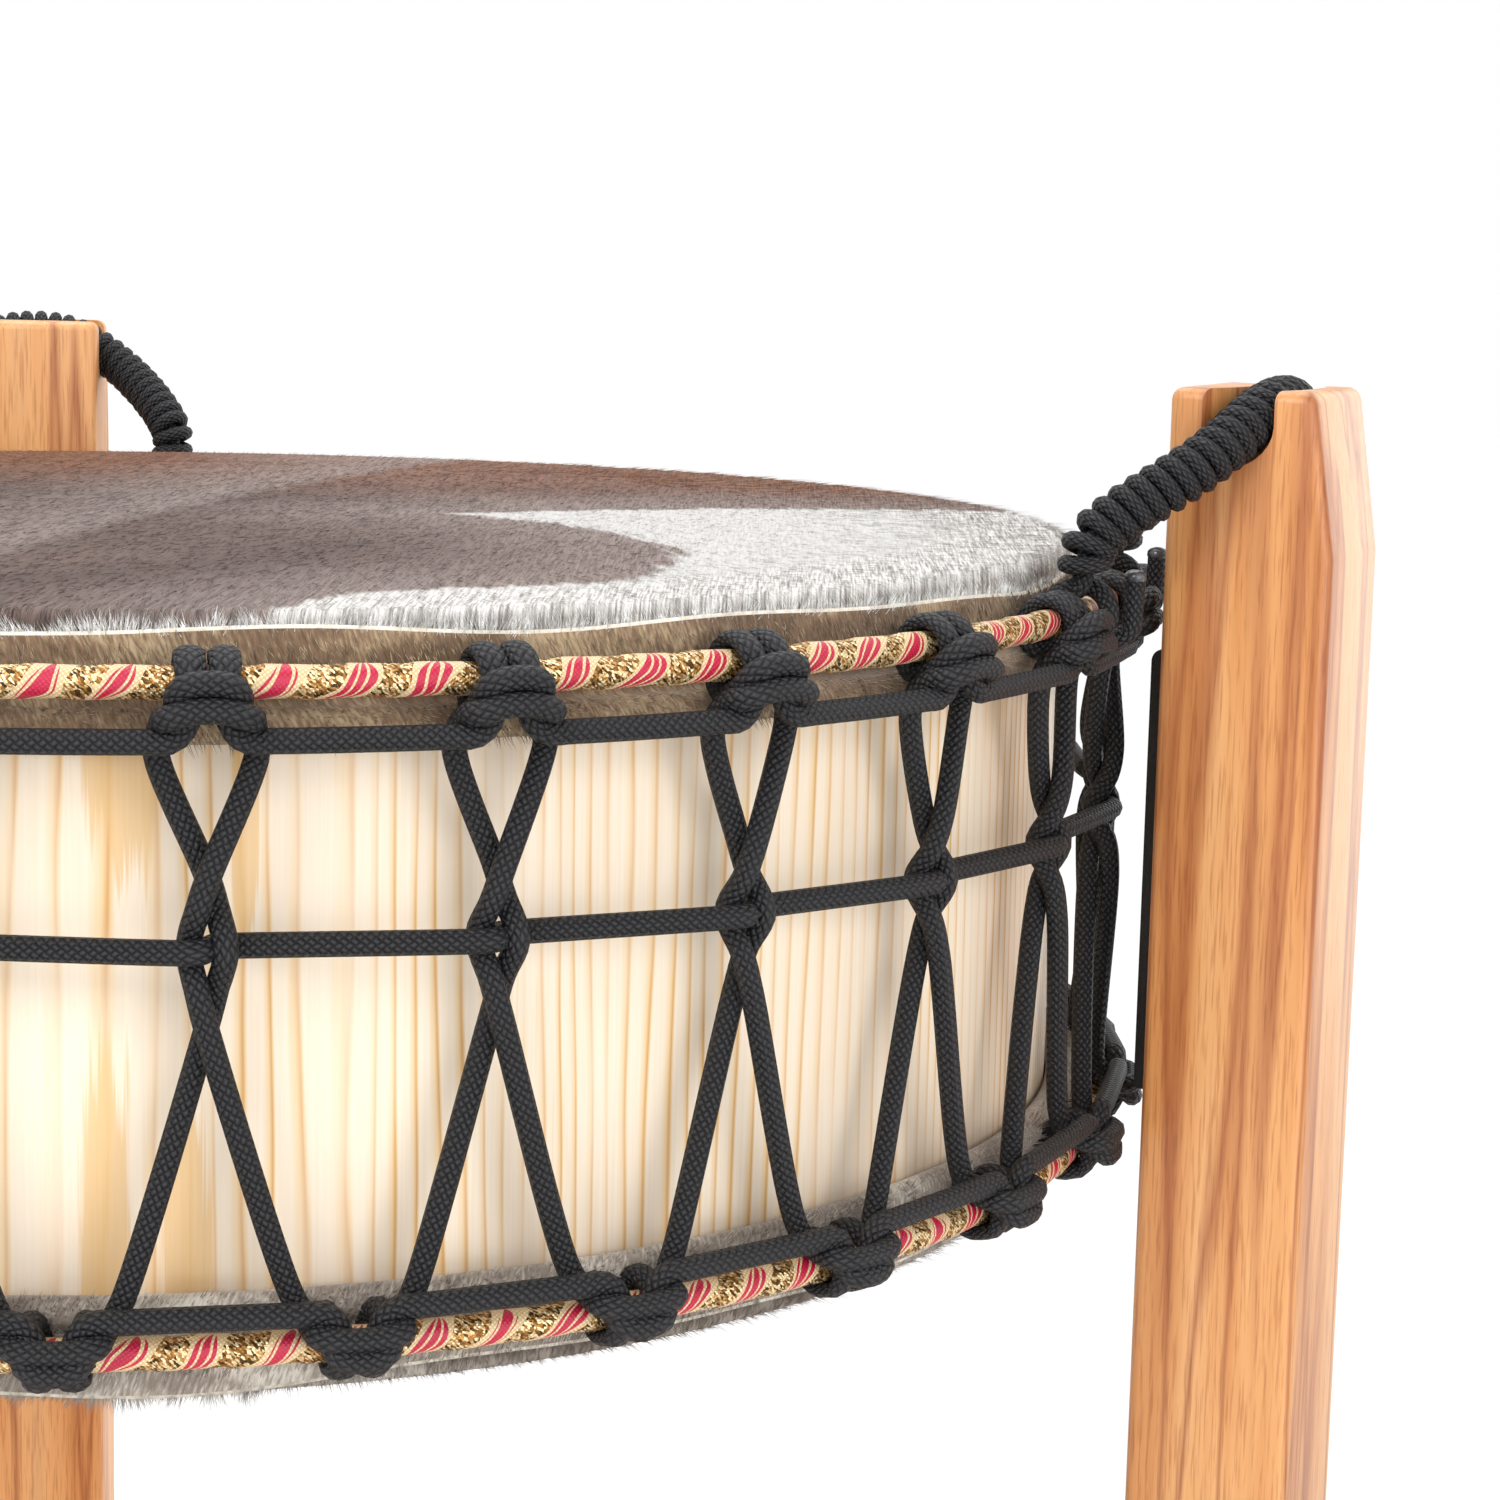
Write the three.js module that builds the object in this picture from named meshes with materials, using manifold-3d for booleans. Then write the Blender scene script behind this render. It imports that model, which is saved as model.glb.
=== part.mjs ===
// A two-headed ceremonial drum that hangs level by three rope loops from a three-post wooden stand.
// Millimetres, +Z up. The origin is on the floor, under the drum's axis.
import * as THREE from "three";
import { mergeVertices } from "three/addons/utils/BufferGeometryUtils.js";
import Module from "manifold-3d";

const wasm = await Module();
wasm.setup();

// Clearance between pieces that touch
const FIT = 0.3;

// Drum: crown hoops, ropes and hides
const HITCHES = 27;
const HOOP_RADIUS = 250;
const HOOP_SPACING = 134;
const HOOP_THICKNESS = 7.2;
const ROPE = 4.8;
const HIDE = 1;
const HEAD_RISE = 6.5;
const FLAP_RISE = 8;
const FLESH_HOOP = 5;
const WAIST_HEIGHT = 14.6;
const CROSSING_ABOVE_WAIST = 18;
const CROSSING_BELOW_WAIST = 16.4;

// Drum: shell
const STAVES = 18;
const STAVE_THICKNESS = 12;
const BEARING_EDGE = 5;

// Rope loops
const WINDING_ROPE = 4.4;
const WINDING_TURNS = 16;
const WINDING_GAP = 1;
const WINDING_INSET = 5;
const LOOP_TIE_TURNS = 10;
const LOOP_TAIL = 13;

// Stand
const POSTS = 3;
const FIRST_POST_HITCH = 5;
const POST_TURN = THREE.MathUtils.degToRad(13.3);
const POST_HEIGHT = 560;
const POST_ABOVE_DRUM = 121;
const POST_DEPTH = 42;
const POST_WIDTH = 45;
const POST_GAP = 5.4;
const POST_BEVEL = 1.5;
const TAPER_HEIGHT = 40;
const TAPER_DEPTH = 6;
const NOTCH_DEPTH = 12.5;
const NOTCH_GAP = 0.4;
const PAD_THICKNESS = 4;
const PAD_WIDTH = 30;
const PAD_CLEAR = 11;
const PAD_CORNER = 3;
const ARM_HEIGHT = 40;
const ARM_TOE = 12;
const FOOT_HEIGHT = 6;
const FOOT_DIAMETER = 32;
const FOOT_INSET = 42;
const DOWEL_DIAMETER = 10;
const DOWEL_LENGTH = 50;
const SCREW_SHANK = 8;
const SCREW_HEAD = 15;
const SCREW_HEAD_HEIGHT = 5.5;
const SCREW_RECESS = 12;
const SCREW_BITE = 60;

// Facets
const DRUM_FACETS = 36;
const CORD_SIDES = 4;
const TURN_STEPS = 8;
const SMALL_FACETS = 8;

// Sizes that follow from those above
const PITCH = (2 * Math.PI) / HITCHES;
const ROPE_STEP = ROPE + FIT;
const HUG = HOOP_THICKNESS / 2 + FIT + ROPE / 2;
const HUG_CORNER = HUG / Math.cos(Math.PI / 5);
const HUG_BACK = HUG_CORNER * Math.cos(Math.PI / 10);
const HUG_UNDER = HUG_CORNER + 0.6;
const FLAP_OUTER = HOOP_RADIUS - HUG_BACK - ROPE / 2 - FIT;
const FLAP_INNER = FLAP_OUTER - HIDE;
const SKIRT_OUTER = FLAP_INNER - FIT;
const SKIRT_INNER = SKIRT_OUTER - HIDE;
const SHELL_RADIUS = SKIRT_INNER - FIT;
const FLESH_RADIUS = SKIRT_OUTER + FIT + FLESH_HOOP / 2;
const FOLD_INNER = FLESH_HOOP / 2 + FIT;
const FOLD_OUTER = FOLD_INNER + HIDE;
const FLESH_DROP = HUG_UNDER + ROPE / 2 + FIT + FOLD_OUTER;
const SHELL_HALF = HOOP_SPACING / 2 + HEAD_RISE - HIDE - FIT;
const DRUM_HEIGHT = POST_HEIGHT - POST_ABOVE_DRUM;

// Places along the hoop, measured from the middle of a hitch
const END_PLACE = ROPE / 2 + FIT;
const CORNER_PLACE = END_PLACE + 0.95 * ROPE;
const BAR_PLACE = END_PLACE + 1.35 * ROPE;
const STRAND_PLACE = CORNER_PLACE + ROPE_STEP + 0.1;
const BIGHT_PLACE = BAR_PLACE + 0.4 * ROPE;
const WAIST_PLACE = 1.18 * ROPE_STEP;
const TIE_PLACE = STRAND_PLACE + ROPE + 1;
const CROSS_OUT = (ROPE_STEP + FIT) / 2;
const STRAND_OUT = HUG - ROPE_STEP - 0.22 * CROSS_OUT;
const BAR_OUT = HUG + ROPE_STEP;
const BIGHT_OUT = BAR_OUT + FIT;
const PASS_DROP = 1.7 * ROPE;
const SPAN_DROP = PASS_DROP + ROPE_STEP;

// Places of the stand, in the frame of one arm: X across the arm, -Y along it
const HITCH_REACH = BAR_OUT + ROPE / 2;
const POST_RADIUS = HOOP_RADIUS + HITCH_REACH + POST_GAP + POST_DEPTH / 2;
const PAD_HEIGHT = HOOP_SPACING - 2 * PAD_CLEAR;
const FIRST_ARM = FIRST_POST_HITCH * PITCH - POST_TURN;
const POST_ALONG = POST_RADIUS * Math.cos(POST_TURN);
const POST_ACROSS = POST_RADIUS * Math.sin(POST_TURN);
const ARM_BOTTOM = FOOT_HEIGHT + FIT;
const ARM_TOP = ARM_BOTTOM + ARM_HEIGHT;
const ARM_INNER_SIDE = POST_ACROSS - POST_WIDTH / 2;
const ARM_OUTER_SIDE = POST_ACROSS + POST_WIDTH / 2;
const WINDING_RADIUS = ROPE / 2 + WINDING_GAP + WINDING_ROPE / 2;
const NOTCH_RADIUS = WINDING_RADIUS + WINDING_ROPE / 2 + NOTCH_GAP;
const NOTCH_AXIS = POST_HEIGHT - NOTCH_DEPTH + NOTCH_RADIUS;

// Materials
const paint = (color, roughness, metalness = 0) =>
  new THREE.MeshStandardMaterial({ color, roughness, metalness });
const PINE = paint("#e6cf9f", 0.6);
const TEAK = paint("#c98a52", 0.5);
const HAIR_HIDE = paint("#5d4a42", 0.85);
const PALE_HIDE = paint("#b7aa9a", 0.85);
const RAWHIDE = paint("#8d7658", 0.9);
const CLOTH = paint("#d9b878", 0.6);
const BLACK_CORD = paint("#1b1b1c", 0.8);
const STEEL = paint("#9b9da0", 0.35, 1);
const RUBBER = paint("#161616", 0.9);
const BEECH = paint("#d8b98c", 0.6);

// A point on the drum: angle from the front, distance from the axis, height above the drum's middle
function onDrum(angle, radius, height) {
  return new THREE.Vector3(
    radius * Math.sin(angle),
    -radius * Math.cos(angle),
    DRUM_HEIGHT + height,
  );
}

// A point by a hoop: place along it from an angle, distance out of its centreline, height over its plane
function byHoop(angle, place, out, rise, side = 1) {
  const height = side * (HOOP_SPACING / 2 + rise);
  return onDrum(angle + place / HOOP_RADIUS, HOOP_RADIUS + out, height);
}

function unitBetween(from, to) {
  return to.clone().sub(from).normalize();
}

// Directions of a cord at its points, halfway between the runs that meet there
function cordDirections(points, closed) {
  const count = points.length;
  return points.map((point, i) => {
    const direction = new THREE.Vector3();
    if (closed || i > 0) {
      direction.add(unitBetween(points[(i + count - 1) % count], point));
    }
    if (closed || i < count - 1) {
      direction.add(unitBetween(point, points[(i + 1) % count]));
    }
    return direction.normalize();
  });
}

// Sideways directions carried along a cord without twist; a closed cord shares out what is left over
function cordNormals(directions, closed) {
  const start = new THREE.Vector3(0, 0, 1).cross(directions[0]);
  if (start.lengthSq() < 1e-6) {
    start.set(1, 0, 0);
  }
  const normals = [start.normalize()];
  const turn = new THREE.Quaternion();
  for (let i = 1; i < directions.length; i += 1) {
    turn.setFromUnitVectors(directions[i - 1], directions[i]);
    normals.push(normals[i - 1].clone().applyQuaternion(turn));
  }
  if (closed) {
    turn.setFromUnitVectors(directions.at(-1), directions[0]);
    const back = normals.at(-1).clone().applyQuaternion(turn);
    const left = Math.atan2(back.clone().cross(normals[0]).dot(directions[0]), back.dot(normals[0]));
    normals.forEach((normal, i) => normal.applyAxisAngle(directions[i], (left * i) / normals.length));
  }
  return normals;
}

// Joins rings of points into a closed skin, either end to end or with flat ends
function skin(rings, closed) {
  const sides = rings[0].length;
  const positions = rings.flat().flatMap((point) => point.toArray());
  const index = [];
  const spans = closed ? rings.length : rings.length - 1;
  for (let i = 0; i < spans; i += 1) {
    const here = i * sides;
    const next = ((i + 1) % rings.length) * sides;
    for (let j = 0; j < sides; j += 1) {
      const k = (j + 1) % sides;
      index.push(here + j, here + k, next + j, here + k, next + k, next + j);
    }
  }
  if (!closed) {
    const last = (rings.length - 1) * sides;
    for (let j = 1; j < sides - 1; j += 1) {
      index.push(0, j + 1, j, last, last + j, last + j + 1);
    }
  }
  const geometry = new THREE.BufferGeometry();
  geometry.setAttribute("position", new THREE.Float32BufferAttribute(positions, 3));
  geometry.setIndex(index);
  geometry.computeVertexNormals();
  return geometry;
}

// A cord of round section along its points
function cord(points, diameter, closed = false) {
  const directions = cordDirections(points, closed);
  const normals = cordNormals(directions, closed);
  const rings = points.map((point, i) => {
    const across = directions[i].clone().cross(normals[i]);
    return Array.from({ length: CORD_SIDES }, (_, j) => {
      const angle = (2 * Math.PI * j) / CORD_SIDES;
      return point
        .clone()
        .addScaledVector(normals[i], (diameter / 2) * Math.cos(angle))
        .addScaledVector(across, (diameter / 2) * Math.sin(angle));
    });
  });
  return skin(rings, closed);
}

// A ring turned about the drum's axis from a profile of [radius, height over the upper hoop's plane]
function turned(profile, side) {
  const ordered = side > 0 ? profile : [...profile].reverse();
  const points = ordered.map(([radius, rise]) => new THREE.Vector2(radius, side * (HOOP_SPACING / 2 + rise)));
  const geometry = new THREE.LatheGeometry(points, DRUM_FACETS);
  return geometry.rotateX(Math.PI / 2).translate(0, 0, DRUM_HEIGHT);
}

// Points of a circle in a profile, between two angles in degrees
function arc(centre, radius, from, to, steps) {
  return Array.from({ length: steps + 1 }, (_, i) => {
    const angle = THREE.MathUtils.degToRad(from + ((to - from) * i) / steps);
    return [centre[0] + radius * Math.cos(angle), centre[1] + radius * Math.sin(angle)];
  });
}

// Joining and cutting of closed solids
function toSolid(geometry) {
  const bare = geometry.clone();
  bare.deleteAttribute("normal");
  bare.deleteAttribute("uv");
  const merged = mergeVertices(bare, 1e-4);
  const vertProperties = new Float32Array(merged.attributes.position.array);
  const triVerts = new Uint32Array(merged.index.array);
  return new wasm.Manifold(new wasm.Mesh({ numProp: 3, vertProperties, triVerts }));
}

function cut(geometry, ...tools) {
  let solid = toSolid(geometry);
  for (const tool of tools) {
    solid = solid.subtract(toSolid(tool));
  }
  const mesh = solid.getMesh();
  const result = new THREE.BufferGeometry();
  result.setAttribute("position", new THREE.Float32BufferAttribute(mesh.vertProperties, 3));
  result.setIndex(Array.from(mesh.triVerts));
  result.computeVertexNormals();
  return result;
}

const drum = new THREE.Group();
const stand = new THREE.Group();

function place(group, name, geometry, material, angle = 0) {
  const mesh = new THREE.Mesh(geometry, material);
  mesh.name = name;
  mesh.rotation.z = angle;
  group.add(mesh);
}

// Shell: staves glued edge to edge, with a sloped bearing edge at both ends
function stave(number) {
  const inner = SHELL_RADIUS - STAVE_THICKNESS;
  const profile = [
    [inner, -SHELL_HALF],
    [SHELL_RADIUS - BEARING_EDGE, -SHELL_HALF],
    [SHELL_RADIUS, BEARING_EDGE - SHELL_HALF],
    [SHELL_RADIUS, SHELL_HALF - BEARING_EDGE],
    [SHELL_RADIUS - BEARING_EDGE, SHELL_HALF],
    [inner, SHELL_HALF],
  ];
  const width = (2 * Math.PI) / STAVES;
  const seam = FIT / 2 / SHELL_RADIUS;
  const steps = DRUM_FACETS / STAVES;
  const sections = Array.from({ length: steps + 1 }, (_, i) => {
    const trim = i === 0 ? seam : i === steps ? -seam : 0;
    const angle = number * width + (i / steps) * width + trim;
    return profile.map(([radius, height]) => onDrum(angle, radius, height)).reverse();
  });
  return skin(sections, false);
}

// Head: a flat hide that goes over the bearing edge, round the flesh hoop and back up behind the crown hoop
function head(side) {
  const flesh = [FLESH_RADIUS, -FLESH_DROP];
  const under = HEAD_RISE - HIDE;
  const foldTop = FOLD_OUTER * 0.86 - FLESH_DROP;
  const profile = [
    [0, under],
    [SHELL_RADIUS - BEARING_EDGE + FIT / 2, under],
    [SKIRT_INNER, under - BEARING_EDGE - FIT / 2],
    ...arc(flesh, FOLD_OUTER, 180, 420, 4),
    [FLAP_OUTER, foldTop],
    [FLAP_OUTER, FLAP_RISE],
    [FLAP_INNER, FLAP_RISE],
    [FLAP_INNER, foldTop - HIDE],
    ...arc(flesh, FOLD_INNER, 60, -180, 4),
    [SKIRT_OUTER, HEAD_RISE - BEARING_EDGE],
    [SHELL_RADIUS - BEARING_EDGE + HIDE / 2, HEAD_RISE],
    [0, HEAD_RISE],
  ];
  return turned(profile, side);
}

// Hoops of round rod
function hoop(radius, rise, thickness, sides, side) {
  const ring = arc([radius, rise], thickness / 2, 0, 360, sides).slice(0, sides);
  return turned([...ring, ring[0]], side);
}

// One hitch of the cradle rope: up the front of the crown hoop, over it, down its back, under it to a bar
// across the front, then the same on the other side in reverse
function hitch() {
  const half = [
    [END_PLACE + 0.25 * ROPE, HUG, -SPAN_DROP],
    [END_PLACE, HUG_BACK, HUG_CORNER * Math.sin(Math.PI / 10)],
    [END_PLACE, 0, HUG_CORNER],
    [END_PLACE + 0.2 * ROPE, -HUG_BACK, HUG_CORNER * Math.sin(Math.PI / 10)],
    [CORNER_PLACE, -0.55 * HUG, -HUG_UNDER],
    [BAR_PLACE, BAR_OUT, -ROPE / 2],
  ];
  const left = half.map(([along, out, rise]) => [-along, out, rise]);
  return [...left, ...half.reverse()];
}

function cradleRope(side) {
  const offset = side > 0 ? 0 : 0.5;
  const points = [];
  for (let k = 0; k < HITCHES; k += 1) {
    for (const [along, out, rise] of hitch()) {
      points.push(byHoop((k + offset) * PITCH, along, out, rise, side));
    }
  }
  return cord(points, ROPE, true);
}

// A bight of the lacing: from behind the cradle rope's span, over it, across the front of the hitch and back
function bight(angle, side, direction) {
  const route = [
    [-STRAND_PLACE, STRAND_OUT, -PASS_DROP],
    [-BIGHT_PLACE, BIGHT_OUT, -PASS_DROP - FIT],
    [BIGHT_PLACE, BIGHT_OUT, -PASS_DROP - FIT],
    [STRAND_PLACE, STRAND_OUT, -PASS_DROP],
  ];
  return route.map(([along, out, rise]) => byHoop(angle, direction * along, out, rise, side));
}

// Two strands leave each upper hitch and twist round each other, once above the waist rope and once below
function strand(angle, direction) {
  const radius = HOOP_RADIUS + STRAND_OUT + direction * CROSS_OUT;
  const aside = (-direction * WAIST_PLACE) / HOOP_RADIUS;
  return [
    onDrum(angle, radius, WAIST_HEIGHT + CROSSING_ABOVE_WAIST),
    onDrum(angle + aside, HOOP_RADIUS + STRAND_OUT, WAIST_HEIGHT),
    onDrum(angle, radius, WAIST_HEIGHT - CROSSING_BELOW_WAIST),
  ];
}

function lacingRope() {
  const points = [];
  for (let k = 0; k < HITCHES; k += 1) {
    const angle = k * PITCH;
    points.push(...strand(angle, -1).reverse());
    points.push(...bight(angle, 1, 1));
    points.push(...strand(angle, 1));
    points.push(...bight(angle + PITCH / 2, -1, 1));
  }
  return cord(points, ROPE, true);
}

// The waist rope goes in front of one strand of each pair and behind the other
function waistRope() {
  const weave = [
    [-1, 1],
    [-0.45, 0.9],
    [0.45, -0.9],
    [1, -1],
  ];
  const points = [];
  for (let k = 0; k < HITCHES; k += 1) {
    for (const [along, out] of weave) {
      const angle = k * PITCH + (along * WAIST_PLACE) / HOOP_RADIUS;
      points.push(onDrum(angle, HOOP_RADIUS + STRAND_OUT + out * ROPE_STEP, WAIST_HEIGHT));
    }
  }
  return cord(points, ROPE, true);
}

// The rope loop over one post, in the frame of its arm. It is tied to the crown hoop beside the hitches
// on both sides of the post.
function loopTie(side) {
  const hitchAngle = POST_TURN + side * PITCH;
  const points = [];
  for (let i = 0; i < LOOP_TIE_TURNS; i += 1) {
    const angle = Math.PI * (0.5 + i / 3);
    const along = -side * (TIE_PLACE + (i / 6) * (ROPE_STEP + FIT));
    const reach = (HUG + 2 * FIT) / Math.cos(Math.PI / 6);
    points.push(byHoop(hitchAngle, along, reach * Math.cos(angle), reach * Math.sin(angle)));
  }
  const end = -side * (TIE_PLACE + (LOOP_TIE_TURNS / 6) * (ROPE_STEP + FIT));
  points.push(byHoop(hitchAngle, end, HUG + ROPE, -ROPE));
  points.push(byHoop(hitchAngle, end, HUG + ROPE, LOOP_TAIL - ROPE));
  return points;
}

function inPost(across, inward, height) {
  return new THREE.Vector3(POST_ACROSS + across, inward - POST_ALONG, height);
}

function legStart(side) {
  const angle = POST_TURN + side * PITCH;
  return byHoop(angle, -side * TIE_PLACE, 0.6 * ROPE, HUG + 2.4 * ROPE);
}

function loopOver() {
  const mouth = POST_WIDTH / 2 + NOTCH_RADIUS + FIT;
  const bend = NOTCH_AXIS - 1.5 * NOTCH_RADIUS;
  const seat = NOTCH_AXIS - 0.1 * NOTCH_RADIUS;
  return new THREE.CatmullRomCurve3([
    legStart(-1),
    inPost(-mouth, NOTCH_RADIUS, bend),
    inPost(-POST_WIDTH / 4, 0, seat),
    inPost(POST_WIDTH / 4, 0, seat),
    inPost(mouth, NOTCH_RADIUS, bend),
    legStart(1),
  ]);
}

const LOOP_CURVE = loopOver();
const LOOP_STEPS = 14;
const LOOP_POINTS = LOOP_CURVE.getSpacedPoints(LOOP_STEPS);

// A point on the loop's centreline, which the rope, its winding and the notch all follow
function onLoop(share) {
  const step = Math.min(Math.floor(share * LOOP_STEPS), LOOP_STEPS - 1);
  return LOOP_POINTS[step].clone().lerp(LOOP_POINTS[step + 1], share * LOOP_STEPS - step);
}

function loopRope() {
  const near = loopTie(-1).reverse();
  const far = loopTie(1);
  return cord([...near, ...LOOP_POINTS, ...far], ROPE);
}

// The cord wound round the loop: a helix on the loop's centreline, with straight ends
function windingRoute() {
  const count = WINDING_TURNS * TURN_STEPS;
  const frames = LOOP_CURVE.computeFrenetFrames(count, false);
  const inset = WINDING_INSET / LOOP_CURVE.getLength();
  const points = [];
  for (let i = 0; i <= count; i += 1) {
    const angle = (2 * Math.PI * i) / TURN_STEPS;
    const centre = onLoop(inset + ((1 - 2 * inset) * i) / count);
    centre.addScaledVector(frames.normals[i], WINDING_RADIUS * Math.cos(angle));
    centre.addScaledVector(frames.binormals[i], WINDING_RADIUS * Math.sin(angle));
    points.push(centre);
  }
  const first = unitBetween(points[1], points[0]);
  const last = unitBetween(points.at(-2), points.at(-1));
  points.unshift(points[0].clone().addScaledVector(first, WINDING_ROPE));
  points.push(points.at(-1).clone().addScaledVector(last, WINDING_ROPE));
  return points;
}

// Least gap between turns of a winding, measured on its points and halfway between them
function leastGap(points, diameter) {
  const dense = points.flatMap((point, i) =>
    i + 1 < points.length ? [point, point.clone().lerp(points[i + 1], 0.5)] : [point],
  );
  let least = Infinity;
  for (let i = 0; i < dense.length; i += 1) {
    for (let j = i + TURN_STEPS; j < dense.length; j += 1) {
      least = Math.min(least, dense[i].distanceTo(dense[j]));
    }
  }
  return least - diameter;
}

// The space that the loop sweeps when it lies in its notch and when it is lifted straight out
function notch() {
  const points = LOOP_POINTS.slice(3, -3);
  const up = new THREE.Vector3(0, 0, 1);
  const rings = cordDirections(points, false).map((direction, i) => {
    const side = direction.clone().cross(up);
    const deep = NOTCH_RADIUS / side.length();
    const round = arc([0, 0], 1 / Math.cos(Math.PI / 12), -15, -165, 5);
    const section = round.map(([across, rise]) => [across * NOTCH_RADIUS, rise * deep]);
    const open = POST_HEIGHT + NOTCH_DEPTH - points[i].z;
    section.unshift([NOTCH_RADIUS, open]);
    section.push([-NOTCH_RADIUS, open]);
    side.normalize();
    return section.map(([across, rise]) =>
      points[i].clone().addScaledVector(side, across).addScaledVector(up, rise),
    );
  });
  return skin(rings, false);
}

// Post: a square timber with a tapered outer face and a round notch across its top for the rope loop
function post() {
  const inner = POST_ALONG - POST_DEPTH / 2;
  const outer = POST_ALONG + POST_DEPTH / 2;
  const outline = new THREE.Shape();
  outline.moveTo(inner, ARM_TOP + FIT);
  outline.lineTo(outer, ARM_TOP + FIT);
  outline.lineTo(outer, POST_HEIGHT - TAPER_HEIGHT);
  outline.lineTo(outer - TAPER_DEPTH, POST_HEIGHT - 2 * POST_BEVEL);
  outline.lineTo(outer - TAPER_DEPTH - 2 * POST_BEVEL, POST_HEIGHT);
  outline.lineTo(inner + 2 * POST_BEVEL, POST_HEIGHT);
  outline.lineTo(inner, POST_HEIGHT - 2 * POST_BEVEL);
  const timber = new THREE.ExtrudeGeometry(outline, {
    depth: POST_WIDTH - 2 * POST_BEVEL,
    bevelSize: POST_BEVEL,
    bevelOffset: -POST_BEVEL,
    bevelThickness: POST_BEVEL,
    bevelSegments: 1,
  });
  timber.rotateX(Math.PI / 2).rotateZ(-Math.PI / 2);
  timber.translate(POST_ACROSS + POST_WIDTH / 2 - POST_BEVEL, 0, 0);
  const pilot = rod(SCREW_SHANK + 2 * FIT, SCREW_BITE + FIT + 1);
  pilot.translate(POST_ACROSS, -POST_ALONG, ARM_TOP + FIT + (SCREW_BITE + FIT - 1) / 2);
  return cut(timber, notch(), pilot);
}

// A small upright rod
function rod(diameter, height) {
  return new THREE.CylinderGeometry(diameter / 2, diameter / 2, height, SMALL_FACETS).rotateX(Math.PI / 2);
}

// Pad on the inner face of a post, rounded at its top
function pad() {
  const back = POST_DEPTH / 2 - POST_ALONG + FIT;
  const low = DRUM_HEIGHT - PAD_HEIGHT / 2;
  const high = DRUM_HEIGHT + PAD_HEIGHT / 2;
  const outline = new THREE.Shape();
  outline.moveTo(back, low);
  outline.lineTo(back + PAD_THICKNESS, low);
  outline.lineTo(back + PAD_THICKNESS, high - PAD_CORNER);
  outline.absarc(back + PAD_THICKNESS - PAD_CORNER, high - PAD_CORNER, PAD_CORNER, 0, Math.PI / 2);
  outline.lineTo(back, high);
  const strip = new THREE.ExtrudeGeometry(outline, { depth: PAD_WIDTH, bevelEnabled: false, curveSegments: 3 });
  strip.rotateX(Math.PI / 2).rotateZ(Math.PI / 2);
  return strip.translate(POST_ACROSS - PAD_WIDTH / 2, 0, 0);
}

// Arm: its inner end stops against the side of the next arm, so the three run past the hub like a pinwheel
function armEnd(across) {
  const reach = ARM_INNER_SIDE - FIT;
  return (reach + across * Math.cos(Math.PI / 3)) / Math.sin(Math.PI / 3);
}

function arm() {
  const toe = -(POST_ALONG + POST_DEPTH / 2 + ARM_TOE);
  const outline = new THREE.Shape();
  outline.moveTo(ARM_INNER_SIDE, toe);
  outline.lineTo(ARM_OUTER_SIDE, toe);
  outline.lineTo(ARM_OUTER_SIDE, armEnd(ARM_OUTER_SIDE));
  outline.lineTo(ARM_INNER_SIDE, armEnd(ARM_INNER_SIDE));
  const beam = new THREE.ExtrudeGeometry(outline, {
    depth: ARM_HEIGHT - 2 * POST_BEVEL,
    bevelSize: POST_BEVEL,
    bevelOffset: -POST_BEVEL,
    bevelThickness: POST_BEVEL,
    bevelSegments: 1,
  });
  beam.translate(0, 0, ARM_BOTTOM + POST_BEVEL);
  const hole = rod(SCREW_SHANK + 2 * FIT, 3 * ARM_HEIGHT).translate(POST_ACROSS, -POST_ALONG, ARM_BOTTOM);
  const recess = rod(SCREW_HEAD + 2 * FIT, 2 * SCREW_RECESS).translate(POST_ACROSS, -POST_ALONG, ARM_BOTTOM);
  return cut(beam, hole, recess, dowelHole());
}

// Hub: a three-sided block between the arms, one dowel to each
function hub() {
  const inradius = ARM_INNER_SIDE - FIT;
  const block = new THREE.CylinderGeometry(2 * inradius, 2 * inradius, ARM_HEIGHT, 3);
  block.rotateX(Math.PI / 2).rotateZ(Math.PI / 6).translate(0, 0, ARM_BOTTOM + ARM_HEIGHT / 2);
  const holes = Array.from({ length: POSTS }, (_, i) => dowelHole().rotateZ((2 * Math.PI * i) / POSTS));
  return cut(block, ...holes);
}

function dowelRod(diameter, length) {
  const peg = rod(diameter, length).rotateY(Math.PI / 2);
  return peg.translate(ARM_INNER_SIDE, 0, ARM_BOTTOM + ARM_HEIGHT / 2);
}

function dowelHole() {
  return dowelRod(DOWEL_DIAMETER + 2 * FIT, DOWEL_LENGTH + 2 * FIT);
}

// Coach screw up through the arm into the post
function coachScrew() {
  const low = ARM_BOTTOM + SCREW_RECESS - SCREW_HEAD_HEIGHT - FIT;
  const shoulder = low + SCREW_HEAD_HEIGHT;
  const tip = ARM_TOP + FIT + SCREW_BITE - FIT;
  const profile = [
    [0, low],
    [SCREW_HEAD / 2, low],
    [SCREW_HEAD / 2, shoulder],
    [SCREW_SHANK / 2, shoulder],
    [SCREW_SHANK / 2, tip - SCREW_SHANK / 2],
    [0, tip],
  ];
  const points = profile.map(([radius, height]) => new THREE.Vector2(radius, height));
  return new THREE.LatheGeometry(points, SMALL_FACETS)
    .rotateX(Math.PI / 2)
    .translate(POST_ACROSS, -POST_ALONG, 0);
}

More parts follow.
